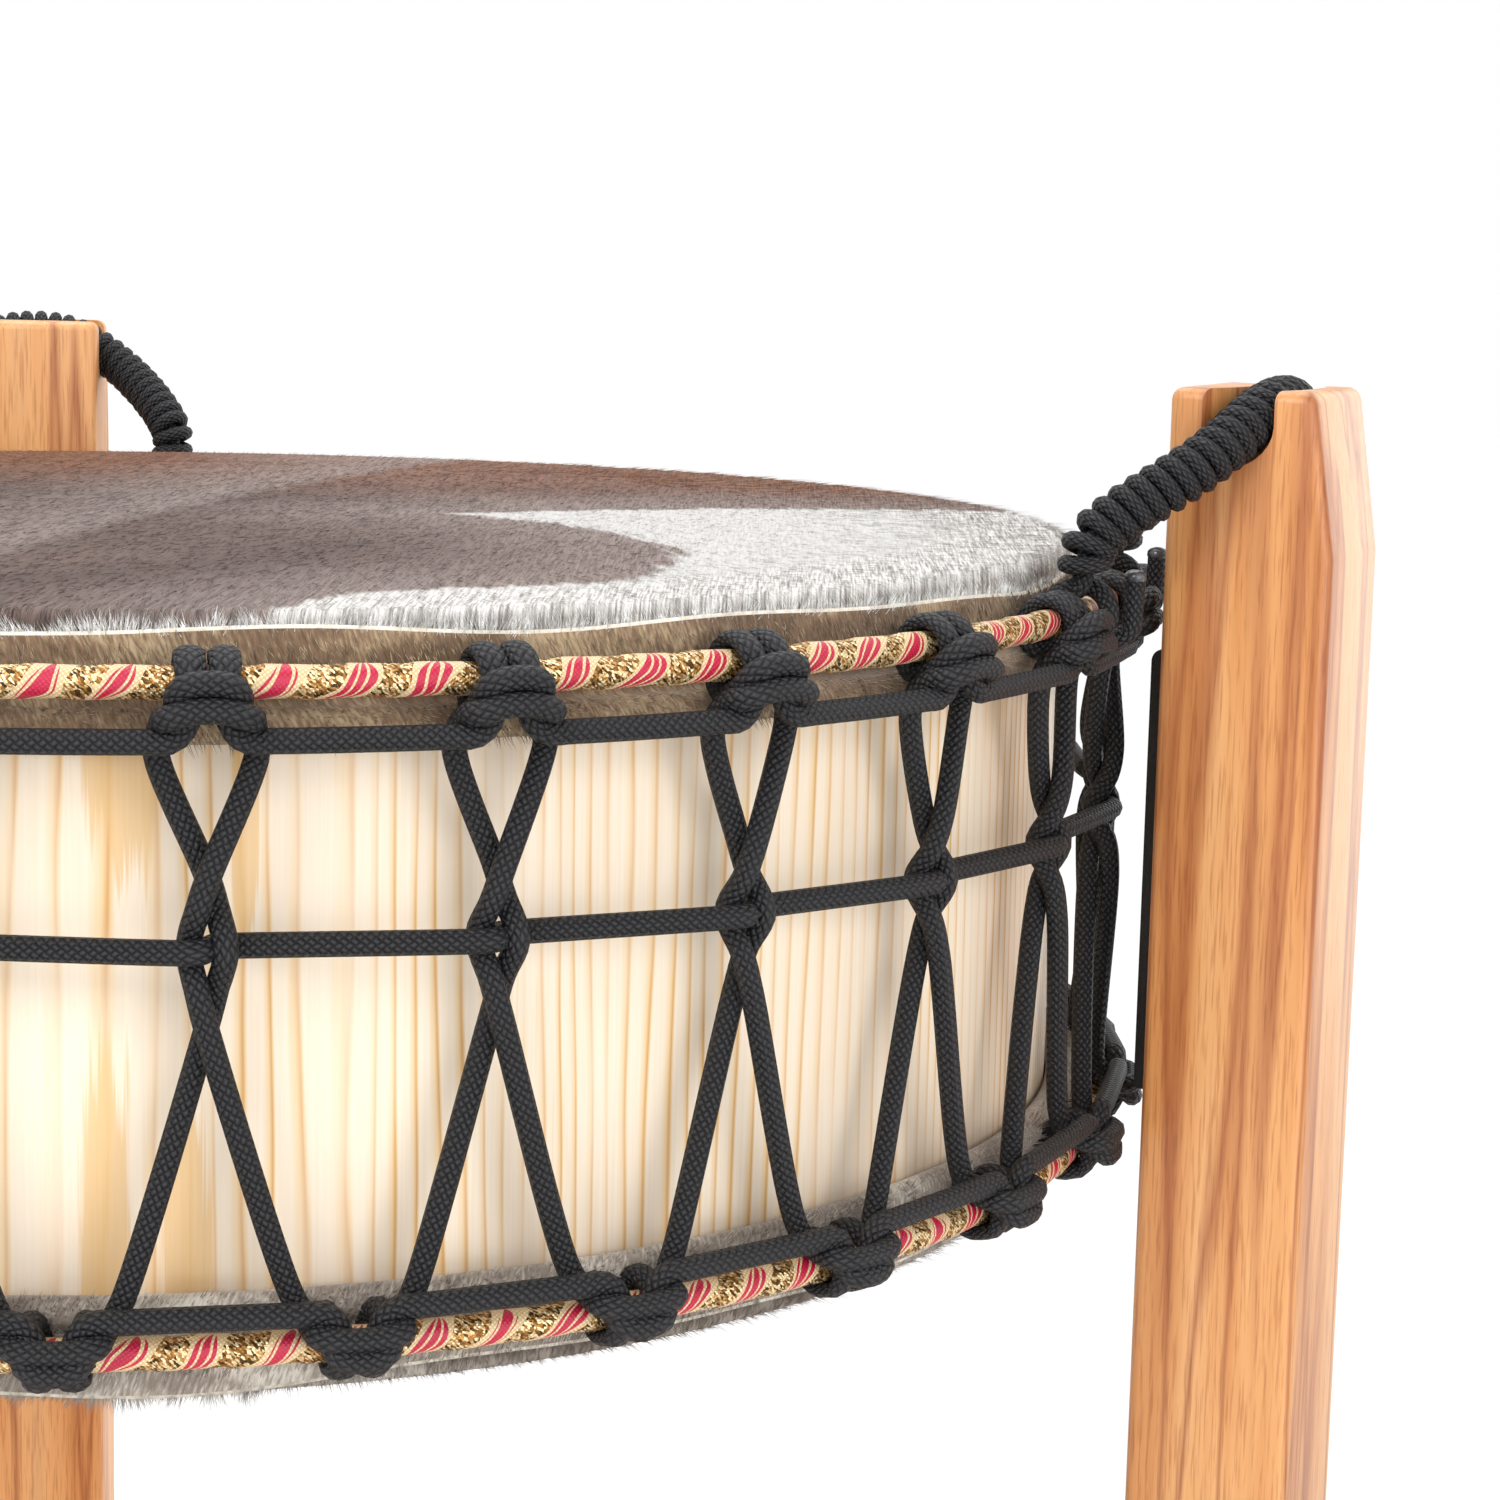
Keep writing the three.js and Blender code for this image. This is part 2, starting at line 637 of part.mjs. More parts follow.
// Foot: a low rubber button with a rounded rim
function foot() {
  const profile = [
    [0, 0],
    [FOOT_DIAMETER / 2 - 1, 0],
    [FOOT_DIAMETER / 2, 1],
    [FOOT_DIAMETER / 2, FOOT_HEIGHT],
    [0, FOOT_HEIGHT],
  ];
  const points = profile.map(([radius, height]) => new THREE.Vector2(radius, height));
  return new THREE.LatheGeometry(points, SMALL_FACETS).rotateX(Math.PI / 2);
}

for (let k = 0; k < STAVES; k += 1) {
  place(drum, `stave_${k + 1}`, stave(k), PINE);
}
for (const [end, side, hide] of [["top", 1, HAIR_HIDE], ["bottom", -1, PALE_HIDE]]) {
  place(drum, `head_${end}`, head(side), hide);
  place(drum, `flesh_hoop_${end}`, hoop(FLESH_RADIUS, -FLESH_DROP, FLESH_HOOP, 6, side), STEEL);
  place(drum, `crown_hoop_${end}`, hoop(HOOP_RADIUS, 0, HOOP_THICKNESS, 6, side), CLOTH);
  place(drum, `cradle_rope_${end}`, cradleRope(side), BLACK_CORD);
}
place(drum, "lacing_rope", lacingRope(), BLACK_CORD);
place(drum, "waist_rope", waistRope(), BLACK_CORD);

const windingPoints = windingRoute();
console.log(`winding: least gap to itself ${leastGap(windingPoints, WINDING_ROPE).toFixed(2)} mm`);

for (let k = 0; k < POSTS; k += 1) {
  const armAngle = FIRST_ARM + (2 * Math.PI * k) / POSTS;
  const inset = foot().translate(POST_ACROSS, FOOT_INSET - POST_ALONG, 0);
  place(drum, `loop_rope_${k + 1}`, loopRope(), BLACK_CORD, armAngle);
  place(drum, `loop_winding_${k + 1}`, cord(windingPoints, WINDING_ROPE), BLACK_CORD, armAngle);
  place(stand, `post_${k + 1}`, post(), TEAK, armAngle);
  place(stand, `post_pad_${k + 1}`, pad(), RUBBER, armAngle);
  place(stand, `base_arm_${k + 1}`, arm(), TEAK, armAngle);
  place(stand, `coach_screw_${k + 1}`, coachScrew(), STEEL, armAngle);
  place(stand, `hub_dowel_${k + 1}`, dowelRod(DOWEL_DIAMETER, DOWEL_LENGTH), BEECH, armAngle);
  place(stand, `foot_${k + 1}`, inset, RUBBER, armAngle);
}
place(stand, "hub", hub(), TEAK, FIRST_ARM);
place(stand, "foot_centre", foot(), RUBBER);

const assembly = new THREE.Group();
assembly.add(stand, drum);

export default assembly;
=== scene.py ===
"""Dresses a rope-laced drum with two haired heads, hung from a three-post stand, for its photograph."""

import logging
import math
from collections.abc import Callable, Iterator
from contextlib import contextmanager
from dataclasses import dataclass, field, replace
from enum import Enum
from functools import partial

import bpy
import numpy as np
from mathutils import Matrix, Vector


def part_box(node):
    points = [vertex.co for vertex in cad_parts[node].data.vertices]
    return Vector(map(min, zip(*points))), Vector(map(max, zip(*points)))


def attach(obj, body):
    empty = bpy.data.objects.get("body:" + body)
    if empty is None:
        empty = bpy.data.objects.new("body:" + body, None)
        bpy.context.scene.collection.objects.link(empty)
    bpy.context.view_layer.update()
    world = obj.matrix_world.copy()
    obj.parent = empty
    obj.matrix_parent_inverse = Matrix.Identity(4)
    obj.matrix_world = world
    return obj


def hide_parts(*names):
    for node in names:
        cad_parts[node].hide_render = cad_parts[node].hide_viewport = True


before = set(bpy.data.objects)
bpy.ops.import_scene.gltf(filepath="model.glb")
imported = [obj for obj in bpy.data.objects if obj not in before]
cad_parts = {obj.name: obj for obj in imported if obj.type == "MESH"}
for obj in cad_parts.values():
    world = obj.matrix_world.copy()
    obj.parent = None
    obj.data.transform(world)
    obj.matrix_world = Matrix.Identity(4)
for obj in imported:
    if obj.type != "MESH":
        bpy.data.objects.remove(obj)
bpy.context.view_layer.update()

LOG = logging.getLogger("drum")
MM = 0.001
TAU = 2 * math.pi
WHITE = (1.0, 1.0, 1.0, 1.0)
ARMS = (1, 2, 3)
Point = tuple[float, float, float]
Piece = bpy.types.Object
Node = bpy.types.Node
Feed = Node | bpy.types.NodeSocket
Add = Callable[..., Node]


class Side(Enum):
    """The two ends of the drum."""

    TOP = 1
    BOTTOM = -1

    @property
    def word(self) -> str:
        """The end's name as the frame's nodes spell it."""
        return self.name.lower()


class Body(Enum):
    """The frame's two moving bodies."""

    STAND = "stand"
    DRUM = "drum"


def linear(code: str) -> tuple[float, float, float, float]:
    """Turns an sRGB hex colour into linear values.

    Args:
        code: the colour as "#rrggbb".

    Returns:
        Red, green, blue and an alpha of one.
    """
    parts = [int(code[i : i + 2], 16) / 255 for i in (1, 3, 5)]
    red, green, blue = [p / 12.92 if p <= 0.04045 else ((p + 0.055) / 1.055) ** 2.4 for p in parts]
    return red, green, blue, 1.0


def add_node(tree: bpy.types.NodeTree, kind: str, *values, stops: tuple = (), **named) -> Node:
    """Adds a shader node, sets it and links it.

    Args:
        tree: the material's node tree.
        kind: the node's type, without its ShaderNode prefix.
        values: what goes into its open inputs, in order. A node stands for its first open output.
        stops: a colour ramp's places from 0 to 1 with their hex colours.
        named: the node's settings in lower case, and inputs by their capitalised names.

    Returns:
        The new node.
    """
    node = tree.nodes.new("ShaderNode" + kind)
    for _ in stops[2:]:
        node.color_ramp.elements.new(0.5)
    for number, (place, code) in enumerate(stops):
        node.color_ramp.elements[number].position = place
        node.color_ramp.elements[number].color = linear(code)
    for name in filter(str.islower, named):
        setattr(node, name, named[name])
    feeds = list(zip([socket for socket in node.inputs if socket.enabled], values))
    feeds += [(node.inputs[name], value) for name, value in named.items() if not name.islower()]
    for socket, value in feeds:
        if isinstance(value, Node):
            value = next(output for output in value.outputs if output.enabled)
        if isinstance(value, bpy.types.NodeSocket):
            tree.links.new(value, socket)
        else:
            socket.default_value = value
    return node


@dataclass(frozen=True)
class Finish:
    """A material that is made once and shared."""

    name: str = "finish"

    def material(self) -> bpy.types.Material:
        """Makes the material, or finds the one made before.

        Returns:
            The Blender material.
        """
        known = bpy.data.materials.get(self.name)
        if known:
            return known
        made = bpy.data.materials.new(self.name)
        made.use_nodes = True
        made.node_tree.nodes.clear()
        add = partial(add_node, made.node_tree)
        add("OutputMaterial", add("BsdfPrincipled", **self.paint(add)), is_active_output=True)
        return made

    def paint(self, add: Add) -> dict[str, object]:
        """Adds the finish's own nodes.

        Args:
            add: add_node for the material's tree.

        Returns:
            What goes into the shader's inputs.
        """
        raise NotImplementedError

    @staticmethod
    def streaks(add: Add, spot: Feed, scale: Point, detail: float, swirl: float = 0.0, **lay) -> Node:
        """Draws a cloudy pattern out along the grain, weave or hair.

        Args:
            add: add_node for the material's tree.
            spot: the surface's coordinates in metres.
            scale: spots to the metre along each axis, or their sizes in metres where vector_type is TEXTURE.
            detail: how finely the pattern breaks up.
            swirl: how much it is distorted.
            lay: the mapping's other inputs and settings.

        Returns:
            The pattern's node.
        """
        at = add("Mapping", spot, Scale=scale, **lay)
        return add("TexNoise", at, Scale=1.0, Detail=detail, Distortion=swirl)


@dataclass(frozen=True)
class BraidedCord(Finish):
    """Black braided polyester: round stitches in a herringbone, with painted sheen on their crowns and
    painted shade in the gaps between them.
    """

    name: str = "braided_polyester_cord"
    crown: str = "#2c2c30"
    gap_shade: str = "#0a0a0b"
    stitch_mm: float = 2.1
    stitches_round: int = 8
    relief_mm: float = 0.65

    def paint(self, add: Add) -> dict[str, object]:
        """Weaves two sets of slanted stitches on the cord's UV map, of turns round it and metres along it.

        Args:
            add: add_node for the material's tree.

        Returns:
            What goes into the shader's inputs.
        """
        turn, length, _ = add("SeparateXYZ", add("TexCoord").outputs["UV"]).outputs
        along = add("Math", length, 1 / (self.stitch_mm * MM), operation="MULTIPLY")
        around = add("Math", turn, self.stitches_round, operation="MULTIPLY")
        cells, ridges = [], []
        for slant in ("ADD", "SUBTRACT"):
            way = add("Math", along, around, operation=slant)
            cells.append(add("Math", way, operation="FLOOR"))
            angle = add("Math", way, math.pi, operation="MULTIPLY")
            wave = add("Math", angle, operation="SINE")
            ridges.append(add("Math", wave, operation="ABSOLUTE"))
        total = add("Math", *cells, operation="ADD")
        over = add("Math", total, 2.0, operation="FLOORED_MODULO")
        across = add("Mix", over, *ridges)
        lengthwise = add("Mix", over, *ridges[::-1])
        dome = add("Math", lengthwise, 0.35, operation="POWER")
        height = add("Math", across, dome, operation="MULTIPLY")
        # Colour runs from painted shade in the gaps to painted sheen on the stitches' crowns.
        return {
            "Base Color": add("ValToRGB", height, stops=((0.05, self.gap_shade), (0.9, self.crown))),
            "Normal": add("Bump", Height=height, Distance=self.relief_mm * MM, Strength=0.9),
            "Roughness": 0.55,
            "Specular IOR Level": 0.32,
        }


@dataclass(frozen=True)
class OiledPine(Finish):
    """Pale planed pine: thin amber latewood lines that run up the staves, with a few wide tan patches.

    A flame is its place round the shell, its half width, and the heights where it starts and is full, in mm.
    """

    name: str = "oiled_pine"
    pale: str = "#f5e6d4"
    warm: str = "#efd2a6"
    late: str = "#d9a566"
    tan: str = "#e6bf86"
    ring_mm: float = 4.6
    flames: tuple[tuple[float, float, float, float], ...] = (
        (-15.5, 11.0, 455.0, 495.0),
        (-19.5, 7.0, 443.0, 392.0),
        (-3.5, 6.5, 430.0, 392.0),
        (8.0, 3.5, 448.0, 466.0),
    )

    def paint(self, add: Add) -> dict[str, object]:
        """Draws growth lines on the shell's UV map, in metres round it and up it.

        Args:
            add: add_node for the material's tree.

        Returns:
            What goes into the shader's inputs.
        """
        spot = add("TexCoord").outputs["UV"]
        around, up, _ = add("SeparateXYZ", spot).outputs
        # Lines wander over 77 mm and waver over 13 mm. The front board is sawn flatter and has wider rings.
        wide = self.streaks(add, spot, (13.0, 1.2, 1.0), 1.0)
        waver = self.streaks(add, spot, (75.0, 7.0, 1.0), 2.0)
        flat = add("MapRange", around, -0.075, 0.03, 0.026, -0.0107)
        sawn = add("Math", around, flat, operation="ADD")
        even = add("Math", sawn, 1 / (self.ring_mm * MM), operation="MULTIPLY")
        drift = add("Math", wide, 7.0, even, operation="MULTIPLY_ADD")
        phase = add("Math", waver, 1.2, drift, operation="MULTIPLY_ADD")
        ring = add("Math", phase, operation="FRACT")
        early = ((0.0, self.pale), (0.50, self.pale), (0.74, self.warm))
        late = ((0.87, self.late), (0.94, self.warm), (1.0, self.pale))
        lines = add("ValToRGB", ring, stops=early + late)
        # Some stretches, 18 mm wide and 110 mm long, show only faint lines.
        fade = self.streaks(add, spot, (55.0, 9.0, 1.0), 2.0)
        faint = add("MapRange", fade, 0.40, 0.64, 0.0, 0.8)
        grain = add("Mix", faint, lines, linear(self.pale), data_type="RGBA")
        # Fibres of 0.8 by 45 mm tear the edges of the tan patches of about 40 mm and of the flames.
        fibre = self.streaks(add, spot, (1300.0, 22.0, 1.0), 2.0)
        patch = self.streaks(add, spot, (24.0, 5.5, 1.0), 3.0, Location=(3.1, 0.4, 0.0))
        torn = add("Math", fibre, 0.3, patch, operation="MULTIPLY_ADD")
        tanned = add("MapRange", torn, 0.80, 0.92, 0.0, 0.8)
        for place, half, foot, top in self.flames:
            aside = add("Math", around, place * MM, operation="SUBTRACT")
            off = add("Math", aside, operation="ABSOLUTE")
            beside = add("MapRange", off, 0.0, half * MM, 1.0, 0.0)
            above = add("MapRange", up, foot * MM, top * MM)
            flame = add("Math", beside, above, operation="MULTIPLY")
            licked = add("Math", fibre, 0.7, flame, operation="MULTIPLY_ADD")
            edged = add("MapRange", licked, 0.52, 0.67, 0.0, 0.8)
            tanned = add("Math", tanned, edged, operation="MAXIMUM")
        wood = add("Mix", tanned, grain, linear(self.tan), data_type="RGBA")
        tone = add("ValToRGB", fibre, stops=((0.3, "#efe0c4"), (0.7, "#fffaf0")))
        return {
            "Base Color": add("Mix", 0.3, wood, tone, data_type="RGBA", blend_type="MULTIPLY"),
            "Normal": add("Bump", Height=fibre, Distance=0.05 * MM, Strength=0.4),
            "Roughness": 0.5,
        }


@dataclass(frozen=True)
class VarnishedTeak(Finish):
    """Planed and varnished teak: orange brown with long darker streaks and short open pores."""

    name: str = "varnished_teak"
    light: str = "#dda268"
    mid: str = "#cf8d52"
    dark: str = "#ad6835"
    vein: str = "#9a5128"
    streak_mm: float = 16.0
    lie: Point = (0.0, 0.0, 0.0)

    def paint(self, add: Add) -> dict[str, object]:
        """Streaks the solid wood along its length, so that the grain runs through all its faces.

        Args:
            add: add_node for the material's tree.

        Returns:
            What goes into the shader's inputs.
        """
        spot = add("Mapping", add("TexCoord").outputs["Object"], Rotation=self.lie, vector_type="TEXTURE")
        across = 1 / (self.streak_mm * MM)
        figure = self.streaks(add, spot, (across, across, across * 0.05), 5.0, 0.6)
        tones = ((0.30, self.dark), (0.40, self.mid), (0.55, self.light), (0.72, "#e2ac78"))
        wood = add("ValToRGB", figure, stops=tones)
        # Thin dark veins lie where a slower pattern passes its middle value.
        level = self.streaks(add, spot, (across * 0.8, across * 0.8, across * 0.03), 2.0)
        aside = add("Math", level, 0.5, operation="SUBTRACT")
        off = add("Math", aside, operation="ABSOLUTE")
        share = add("MapRange", off, 0.0, 0.035, 0.75, 0.0)
        veined = add("Mix", share, wood, linear(self.vein), data_type="RGBA")
        # Pores are 0.7 mm wide and 14 mm long, coarser than real ones so that they show.
        pores = self.streaks(add, spot, (1500.0, 1500.0, 70.0), 2.0)
        tone = add("ValToRGB", pores, stops=((0.32, "#b98a5c"), (0.5, "#ffffff")))
        return {
            "Base Color": add("Mix", 0.45, veined, tone, data_type="RGBA", blend_type="MULTIPLY"),
            "Normal": add("Bump", Height=pores, Distance=0.06 * MM, Strength=0.4),
            "Roughness": 0.42,
            "Coat Weight": 0.15,
            "Coat Roughness": 0.3,
        }


@dataclass(frozen=True)
class BrocadeStrip(Finish):
    """Brocade ribbon wound on the hoop: cream weave, glittering gold thread and slanted red leaves."""

    name: str = "brocade_strip"
    cream: str = "#f1d9ae"
    gold: str = "#b98440"
    brown: str = "#46300f"
    red: str = "#cc1a49"
    repeat_mm: float = TAU * 250.0 / 105
    round_mm: float = 22.6
    thread_mm: float = 0.8
    leaf_place: float = 0.73
    leaf_bow: float = 0.07
    gilt_share: float = 0.46

    def paint(self, add: Add) -> dict[str, object]:
        """Draws one leaf and one gold field in each turn of the ribbon, in metres along and round the rod.

        Args:
            add: add_node for the material's tree.

        Returns:
            What goes into the shader's inputs.
        """
        spot = add("TexCoord").outputs["UV"]
        along, around, _ = add("SeparateXYZ", spot).outputs
        sway = add("TexNoise", add("TexCoord").outputs["Object"], Scale=70.0, Detail=1.0)
        lean = add("Math", around, self.repeat_mm / self.round_mm, along, operation="MULTIPLY_ADD")
        bent = add("Math", sway, 0.009, lean, operation="MULTIPLY_ADD")
        turn = add("Math", bent, 1 / (self.repeat_mm * MM), operation="MULTIPLY")
        height = add("MapRange", around, 0.0, self.round_mm * MM, -2.3, 2.3)
        bow = add("Math", height, height, operation="MULTIPLY")
        curl = add("Math", bow, self.leaf_bow, turn, operation="MULTIPLY_ADD")
        place = add("Math", curl, operation="FRACT")
        leaf_number = add("Math", curl, operation="FLOOR")
        # Each leaf draws its own plumpness and the width of its heart.
        draw = add("TexWhiteNoise", W=leaf_number, noise_dimensions="1D")
        plump = add("MapRange", draw, 0.0, 1.0, 0.2, 0.25)
        half = add("MapRange", bow, 0.0, 1.6, plump, 0.06)
        aside = add("Math", place, self.leaf_place, operation="SUBTRACT")
        off = add("Math", aside, operation="ABSOLUTE")
        leaf = add("Math", off, half, operation="LESS_THAN")
        edge = add("Math", off, half, 0.03, operation="COMPARE")
        opening = add("MapRange", draw, 0.0, 1.0, 0.62, 0.3)
        heart = add("Math", half, opening, operation="MULTIPLY")
        vein = add("Math", off, heart, 0.022, operation="COMPARE")
        piping = add("Math", edge, vein, operation="MAXIMUM")
        gilt = add("Math", place, self.gilt_share, operation="LESS_THAN")
        # Gold stitches are 0.45 by 0.9 mm and run from dark brown through gold to pale painted glints, which
        # change from one stitch to the next.
        stitch = (0.45 * MM, 0.9 * MM, 1.0)
        grit_at = add("Mapping", spot, Rotation=(0.0, 0.0, -0.7), Scale=stitch, vector_type="TEXTURE")
        grit = add("TexVoronoi", grit_at, Scale=1.0).outputs["Color"]
        sparkle = add("ValToRGB", grit, stops=((0.22, self.brown), (0.5, self.gold), (0.74, "#fff0c4")))
        drawn = linear(self.cream)
        for share, colour in ((gilt, sparkle), (leaf, linear(self.red)), (piping, linear(self.cream))):
            drawn = add("Mix", share, drawn, colour, data_type="RGBA")
        ways = []
        for slant in (0.6, -0.9):
            thread_at = add("Mapping", spot, Rotation=(0.0, 0.0, slant))
            ways.append(add("TexWave", thread_at, Scale=TAU / 20 / (self.thread_mm * MM)).outputs["Fac"])
        thread = add("Math", *ways, operation="MULTIPLY")
        weave = add("ValToRGB", thread, stops=((0.0, "#a88a58"), (0.6, "#ffffff")))
        bare = add("Math", 0.7, piping, operation="SUBTRACT", use_clamp=True)
        return {
            "Base Color": add("Mix", 0.5, drawn, weave, data_type="RGBA", blend_type="MULTIPLY"),
            "Metallic": add("Math", gilt, bare, operation="MULTIPLY"),
            "Normal": add("Bump", Height=thread, Distance=0.15 * MM, Strength=0.6),
            "Roughness": 0.42,
        }


@dataclass(frozen=True)
class HairedHide(Finish):
    """Short smooth hair on a stretched hide: dark brown with a white patch and a white rim at the front."""

    name: str = "haired_hide_top"
    dark: str = "#543e36"
    mid: str = "#695148"
    light: str = "#7f685e"
    brown: str = "#825843"
    greying_and_sheen: str = "#9d8e88"
    turned_shade: str = "#3d261e"
    white: str = "#e8e6e3"
    shadow: str = "#b2ada8"
    sleek: str = "#d2d0cd"
    hair_mm: float = 0.42
    face_mm: float = 518.5
    white_rim: float = 1.0

    def patch(self, add: Add, x: Feed, y: Feed, flat: Feed) -> Node:
        """Outlines the white patch: an arch at the right of a round brown lobe, and a strip along the front.

        Args:
            add: add_node for the material's tree.
            x: the place to the right.
            y: the place to the back.
            flat: both as one vector.

        Returns:
            A node that is above zero on white, in metres from the outline.
        """
        lobe = add("VectorMath", flat, (-0.016, -0.102, 0.0), operation="DISTANCE")
        outside = add("Math", lobe, 0.1334, operation="SUBTRACT")
        away = add("Math", x, 0.185, operation="SUBTRACT")
        arch = add("Math", away, away, operation="MULTIPLY")
        crest = add("Math", arch, -2.0, 0.0185, operation="MULTIPLY_ADD")
        below = add("Math", crest, y, operation="SUBTRACT")
        rightward = add("Math", x, 0.07, operation="SUBTRACT")
        inside = add("Math", outside, below, operation="MINIMUM")
        inside = add("Math", inside, rightward, operation="MINIMUM")
        slope = add("Math", x, 0.35, -0.2135, operation="MULTIPLY_ADD")
        shore = add("Math", slope, y, operation="SUBTRACT")
        side = add("Math", y, -0.727, -0.1834, operation="MULTIPLY_ADD")
        bank = add("Math", side, x, operation="ADD")
        strip = add("Math", shore, bank, operation="MINIMUM")
        return add("Math", inside, strip, operation="MAXIMUM")

    def ridge_highlight(self, add: Add, flat: Feed, ragged: Feed) -> Node:
        """Outlines a bowed ridge in the hide that is not modelled, and paints a highlight beyond its line.

        Args:
            add: add_node for the material's tree.
            flat: the place on the drum, seen from above.
            ragged: what frays the line.

        Returns:
            The painted highlight's share.
        """
        over = add("VectorMath", flat, (-0.913, 0.408, 0.0), operation="DOT_PRODUCT")
        frayed = add("Math", ragged, 0.014, over, operation="MULTIPLY_ADD")
        along = add("VectorMath", flat, (0.408, 0.913, 0.0), operation="DOT_PRODUCT")
        off = add("Math", along, 0.065, operation="SUBTRACT")
        bow = add("Math", off, off, operation="MULTIPLY")
        past = add("Math", bow, 0.38, frayed, operation="MULTIPLY_ADD")
        start = add("MapRange", past, -0.004, 0.005)
        fade = add("MapRange", past, 0.010, 0.080, 0.65, 0.0)
        return add("Math", start, fade, operation="MULTIPLY")

    def paint(self, add: Add) -> dict[str, object]:
        """Paints the patches by their place on the drum, with ragged edges along the hair.

        Args:
            add: add_node for the material's tree.

        Returns:
            What goes into the shader's inputs.
        """
        spot = add("TexCoord").outputs["Object"]
        x, y, z = add("SeparateXYZ", spot).outputs
        flat = add("CombineXYZ", x, y)
        reach = add("VectorMath", flat, operation="LENGTH")
        # Edges fray in tufts of 4 by 22 mm.
        fray = self.streaks(add, spot, (260.0, 45.0, 45.0), 4.0, Rotation=(0.0, 0.0, 0.5))
        ragged = add("Math", fray, 0.5, operation="SUBTRACT")
        patch = self.patch(add, x, y, flat)
        past_rim = add("Math", reach, self.white_rim, operation="SUBTRACT")
        front = add("Math", -0.06, y, operation="SUBTRACT")
        rim = add("Math", past_rim, front, operation="MINIMUM")
        outline = add("Math", patch, rim, operation="MAXIMUM")
        torn = add("Math", ragged, 0.022, outline, operation="MULTIPLY_ADD")
        mask = add("MapRange", torn, -0.003, 0.004, interpolation_type="SMOOTHSTEP")
        # The brown coat clouds over about 150 mm, warmer at the back, with painted shade where it turns down
        # the rim.
        coat = self.streaks(add, spot, (7.0, 5.0, 5.0), 3.0, 0.8)
        pelt = add("ValToRGB", coat, stops=((0.36, self.dark), (0.52, self.mid), (0.68, self.light)))
        rearward = add("Math", x, 0.35, y, operation="MULTIPLY_ADD")
        back = add("MapRange", rearward, 0.06, 0.16, 0.0, 0.9)
        rolled = add("MapRange", z, (self.face_mm - 0.6) * MM, (self.face_mm - 2.6) * MM)
        # The same grey paints a highlight beyond the ridge and makes the hair greyer near the white patch.
        paler = add("MapRange", patch, -0.075, -0.004, 0.0, 0.65)
        greying_and_sheen = (self.ridge_highlight(add, flat, ragged), self.greying_and_sheen)
        for share, code in ((back, self.brown), greying_and_sheen, (rolled, self.turned_shade), (paler, self.greying_and_sheen)):
            pelt = add("Mix", share, pelt, linear(code), data_type="RGBA")
        # White hair has painted shade down the rim, and lies sleek on the inner face.
        inner = add("MapRange", reach, 0.196, 0.217, 1.0, 0.0)
        pale = linear(self.white)
        for share, code in ((rolled, self.shadow), (inner, self.sleek)):
            pale = add("Mix", share, pale, linear(code), data_type="RGBA")
        hide = add("Mix", mask, pelt, pale, data_type="RGBA")
        # Hairs are drawn 0.4 mm wide, several real ones together, so that they show.
        length = self.hair_mm * 26 * MM
        strand = (self.hair_mm * MM, length, length)
        hair = self.streaks(add, spot, strand, 2.0, Rotation=(0.0, 0.0, -0.22), vector_type="TEXTURE")
        tone = add("ValToRGB", hair, stops=((0.34, "#776a63"), (0.64, "#ffffff")))
        smooth = add("Math", mask, inner, operation="MULTIPLY")
        depth = add("Math", smooth, -0.5, 0.75, operation="MULTIPLY_ADD")
        return {
            "Base Color": add("Mix", depth, hide, tone, data_type="RGBA", blend_type="MULTIPLY"),
            "Roughness": 0.6,
            "Specular IOR Level": 0.22,
        }


@dataclass(frozen=True)
class PaleHide(Finish):
    """Short hair of the lower hide: clouds of grey and white with a soft nap."""

    name: str = "haired_hide_bottom"
    light: str = "#e4dfd8"
    grey: str = "#8f857b"
    hair_mm: float = 1.1

    def paint(self, add: Add) -> dict[str, object]:
        """Clouds the hair in grey and white over about 110 mm, with streaks along it.

        Args:
            add: add_node for the material's tree.

        Returns:
            What goes into the shader's inputs.
        """
        spot = add("TexCoord").outputs["Object"]
        coat = add("TexNoise", spot, Scale=9.0, Detail=3.0, Distortion=0.6)
        pelt = add("ValToRGB", coat, stops=((0.38, self.grey), (0.6, self.light)))
        across = 1 / (self.hair_mm * MM)
        hair = self.streaks(add, spot, (across, across * 0.07, across * 0.07), 3.0)
        tone = add("ValToRGB", hair, stops=((0.3, "#8f8580"), (0.65, "#ffffff")))
        return {
            "Base Color": add("Mix", 0.5, pelt, tone, data_type="RGBA", blend_type="MULTIPLY"),
            "Normal": add("Bump", Height=hair, Distance=0.3 * MM, Strength=0.6),
            "Roughness": 0.55,
        }


@dataclass(frozen=True)
class FoldedHide(Finish):
    """The folded edge of a hide: a dull brown or grey nap that is brushed up and down."""

    name: str = "folded_hide_edge"
    dark: str = "#5d4734"
    mid: str = "#836a52"
    light: str = "#b7a181"
    nap_mm: tuple[float, float] = (0.7, 3.2)

    def paint(self, add: Add) -> dict[str, object]:
        """Streaks the fold on its UV map, in metres round the drum and up the fold, in patches of 26 mm.

        Args:
            add: add_node for the material's tree.

        Returns:
            What goes into the shader's inputs.
        """
        stroke = (self.nap_mm[0] * MM, self.nap_mm[1] * MM, 1.0)
        lay = {"Rotation": (0.0, 0.0, 0.4), "vector_type": "TEXTURE"}
        nap = self.streaks(add, add("TexCoord").outputs["UV"], stroke, 3.0, **lay)
        patch = self.streaks(add, add("TexCoord").outputs["Object"], (38.0, 38.0, 80.0), 2.0)
        both = add("Mix", 0.45, patch, nap)
        tones = ((0.36, self.dark), (0.5, self.mid), (0.62, self.light))
        return {
            "Base Color": add("ValToRGB", both, stops=tones),
            "Normal": add("Bump", Height=nap, Distance=0.5 * MM, Strength=0.8),
            "Roughness": 0.85,
            "Sheen Weight": 0.3,
        }


